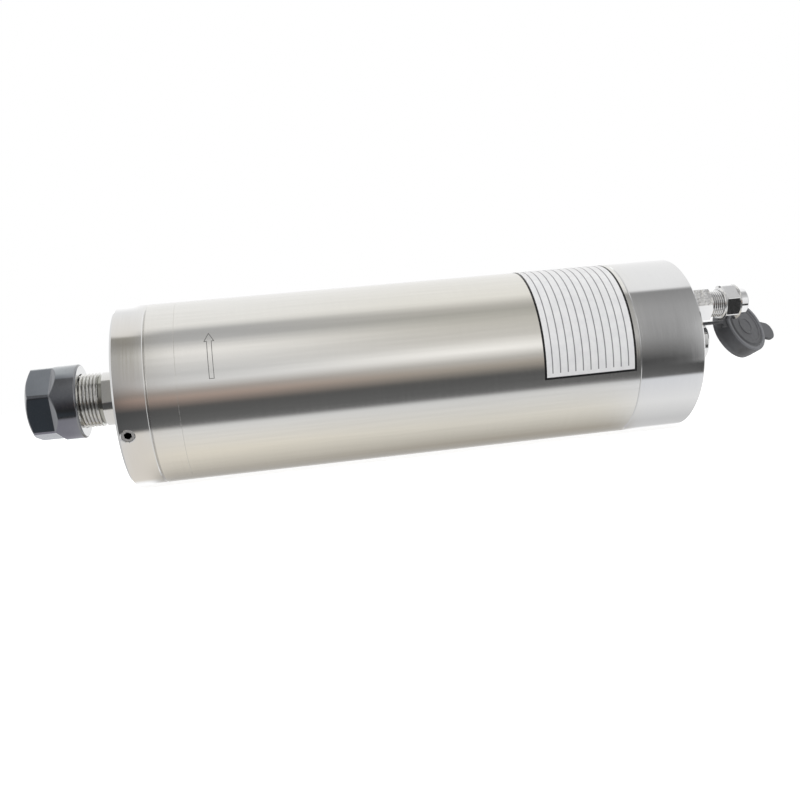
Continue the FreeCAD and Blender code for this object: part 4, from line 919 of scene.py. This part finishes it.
def turning_arrow():
    """The engraved arrow: a closed band along its outline, moved in along the corners' bisectors."""
    tail, neck, tip = (value * BODY_RADIUS for value in (ARROW_TAIL, ARROW_NECK, ARROW_TIP))
    outline = np.array([
        (-ARROW_SHAFT_HALF, tail), (ARROW_SHAFT_HALF, tail), (ARROW_SHAFT_HALF, neck),
        (ARROW_HEAD_HALF, neck), (0.0, tip), (-ARROW_HEAD_HALF, neck), (-ARROW_SHAFT_HALF, neck)])
    before = outline - np.roll(outline, 1, 0)
    after = np.roll(outline, -1, 0) - outline
    before /= np.linalg.norm(before, axis=1, keepdims=True)
    after /= np.linalg.norm(after, axis=1, keepdims=True)
    inward_before = np.stack([-before[:, 1], before[:, 0]], 1)
    inward_after = np.stack([-after[:, 1], after[:, 0]], 1)
    bisector = inward_before + inward_after
    bisector /= np.sum(bisector * inward_before, 1, keepdims=True)
    outer_path = divided(outline, 25)
    inner_path = divided(outline + bisector * ARROW_LINE, 25)
    rings = []
    for path, radius in ((outer_path, ARROW_LOW), (outer_path, ARROW_HIGH), (inner_path, ARROW_HIGH),
                         (inner_path, ARROW_LOW)):
        angle = path[:, 1] / BODY_RADIUS
        rings.append(np.stack([ARROW_X + path[:, 0], -radius * np.cos(angle), radius * np.sin(angle)], 1))
    points = np.stack(rings)
    piece = write_mesh("turning_arrow", points, grid_faces(4, len(outer_path), True, True), 40)
    engraving = grained("engraving", (0.14, 0.14, 0.135), 0.5, 0.3, 3000.0, 0.2, 1e-6)
    dressed(piece, "ground_steel", "housing", finish=engraving)


# Light, floor and camera

def light_row(tree, share, name, stops):
    """One row of the studio: brightness by the share of a turn round X."""
    node = tree.nodes.new("ShaderNodeValToRGB")
    node.label = name
    elements = node.color_ramp.elements
    while len(elements) < len(stops):
        elements.new(0.5)
    for element, (degrees, color) in zip(elements, stops):
        element.position = 0.5 + degrees / 360
        element.color = (*color, 1.0) if isinstance(color, tuple) else (color, color, color, 1.0)
    tree.links.new(share, node.inputs[0])
    return node.outputs[0]


def world_light():
    """White for the camera, the studio for gloss, and an even grey for the rest."""
    world = bpy.data.worlds.new("studio")
    bpy.context.scene.world = world
    world.use_nodes = True
    tree = world.node_tree
    background = tree.nodes["Background"]
    coordinates = tree.nodes.new("ShaderNodeTexCoord")
    split = tree.nodes.new("ShaderNodeSeparateXYZ")
    tree.links.new(coordinates.outputs["Generated"], split.inputs[0])
    x, y, z = split.outputs
    angle = calculated(tree, "ARCTAN2", z, calculated(tree, "MULTIPLY", y, -1.0))
    share = calculated(tree, "ADD", calculated(tree, "MULTIPLY", angle, 1 / TURN), 0.5)
    gloss = None
    for name, span, stops in STUDIO:
        row = light_row(tree, share, name, stops)
        gloss = mixed(tree, mapped(tree, x, *span, 0.0, 1.0, "SMOOTHSTEP"), gloss, row) if span else row
    path = tree.nodes.new("ShaderNodeLightPath")
    lit = mixed(tree, path.outputs["Is Glossy Ray"], PLAIN_LIGHT, gloss)
    seen = calculated(tree, "MAXIMUM", path.outputs["Is Camera Ray"], path.outputs["Is Transmission Ray"])
    feed(tree, background.inputs["Color"], mixed(tree, seen, lit, WHITE))
    background.inputs["Strength"].default_value = 1.0


def lamp(name, place, power):
    """A soft rectangular lamp that faces the object and isn't seen in the metal."""
    light = bpy.data.lights.new(name, "AREA")
    light.shape = "RECTANGLE"
    light.size, light.size_y = LAMP_SIZE
    light.energy = power
    holder = bpy.data.objects.new(name, light)
    bpy.context.scene.collection.objects.link(holder)
    holder.location = place
    holder.rotation_euler = (-Vector(place)).to_track_quat("-Z", "Y").to_euler()
    holder.visible_glossy = False


def floor():
    """A pale floor just under the body: white where it is lit, with the object's soft shadow."""
    corners = [(x * FLOOR_HALF, y * FLOOR_HALF, FLOOR_LEVEL) for x, y in ((-1, -1), (1, -1), (1, 1), (-1, 1))]
    mesh = bpy.data.meshes.new("floor")
    mesh.from_pydata(corners, [], [(0, 1, 2, 3)])
    ground = bpy.data.objects.new("floor", mesh)
    bpy.context.scene.collection.objects.link(ground)
    material = bpy.data.materials.new("floor")
    material.use_nodes = True
    tree = material.node_tree
    shader = tree.nodes["Principled BSDF"]
    shader.inputs["Base Color"].default_value = (0.9, 0.9, 0.9, 1.0)
    shader.inputs["Roughness"].default_value = 0.9
    shader.inputs["Specular IOR Level"].default_value = 0.0
    glow = tree.nodes.new("ShaderNodeEmission")
    glow.inputs["Color"].default_value = (*WHITE, 1.0)
    path = tree.nodes.new("ShaderNodeLightPath")
    strength = calculated(tree, "MULTIPLY", path.outputs["Is Camera Ray"], FLOOR_GLOW)
    tree.links.new(strength, glow.inputs["Strength"])
    added = tree.nodes.new("ShaderNodeAddShader")
    tree.links.new(shader.outputs[0], added.inputs[0])
    tree.links.new(glow.outputs[0], added.inputs[1])
    tree.links.new(added.outputs[0], tree.nodes["Material Output"].inputs["Surface"])
    mesh.materials.append(material)
    ground.visible_glossy = False


def camera():
    """The photograph's view: level with the axis, turned toward the rear, a little down and rolled."""
    yaw, pitch, roll = (math.radians(value) for value in CAMERA_TURNS)
    ahead = Vector((math.sin(yaw), math.cos(yaw), 0))
    right = Vector((math.cos(yaw), -math.sin(yaw), 0))
    up = Vector((0, 0, 1))
    forward = ahead * math.cos(pitch) + up * math.sin(pitch)
    level_up = up * math.cos(pitch) - ahead * math.sin(pitch)
    across = right * math.cos(roll) + level_up * math.sin(roll)
    upward = level_up * math.cos(roll) - right * math.sin(roll)
    lens = bpy.data.cameras.new("camera")
    lens.sensor_fit = "HORIZONTAL"
    lens.sensor_width = SENSOR_WIDTH
    lens.lens = FOCAL_SHARE * SENSOR_WIDTH
    lens.clip_start = 0.01
    holder = bpy.data.objects.new("camera", lens)
    bpy.context.scene.collection.objects.link(holder)
    turn = Matrix((across, upward, -forward)).transposed()
    holder.matrix_world = Matrix.Translation(Vector(CAMERA_PLACE)) @ turn.to_4x4()
    bpy.context.scene.camera = holder


finish_nodes()
shaft()
collet_nut()
fitting("left", -FITTING_SIDE, 1)
fitting("right", FITTING_SIDE, -1)
dust_cap()
strap()
rating_plate()
turning_arrow()
world_light()
lamp("key_lamp", (-0.5, -0.9, 1.1), 13.0)
lamp("fill_lamp", (0.9, 0.5, 1.0), 6.0)
floor()
camera()

scene = bpy.context.scene
scene.view_settings.view_transform = "Standard"
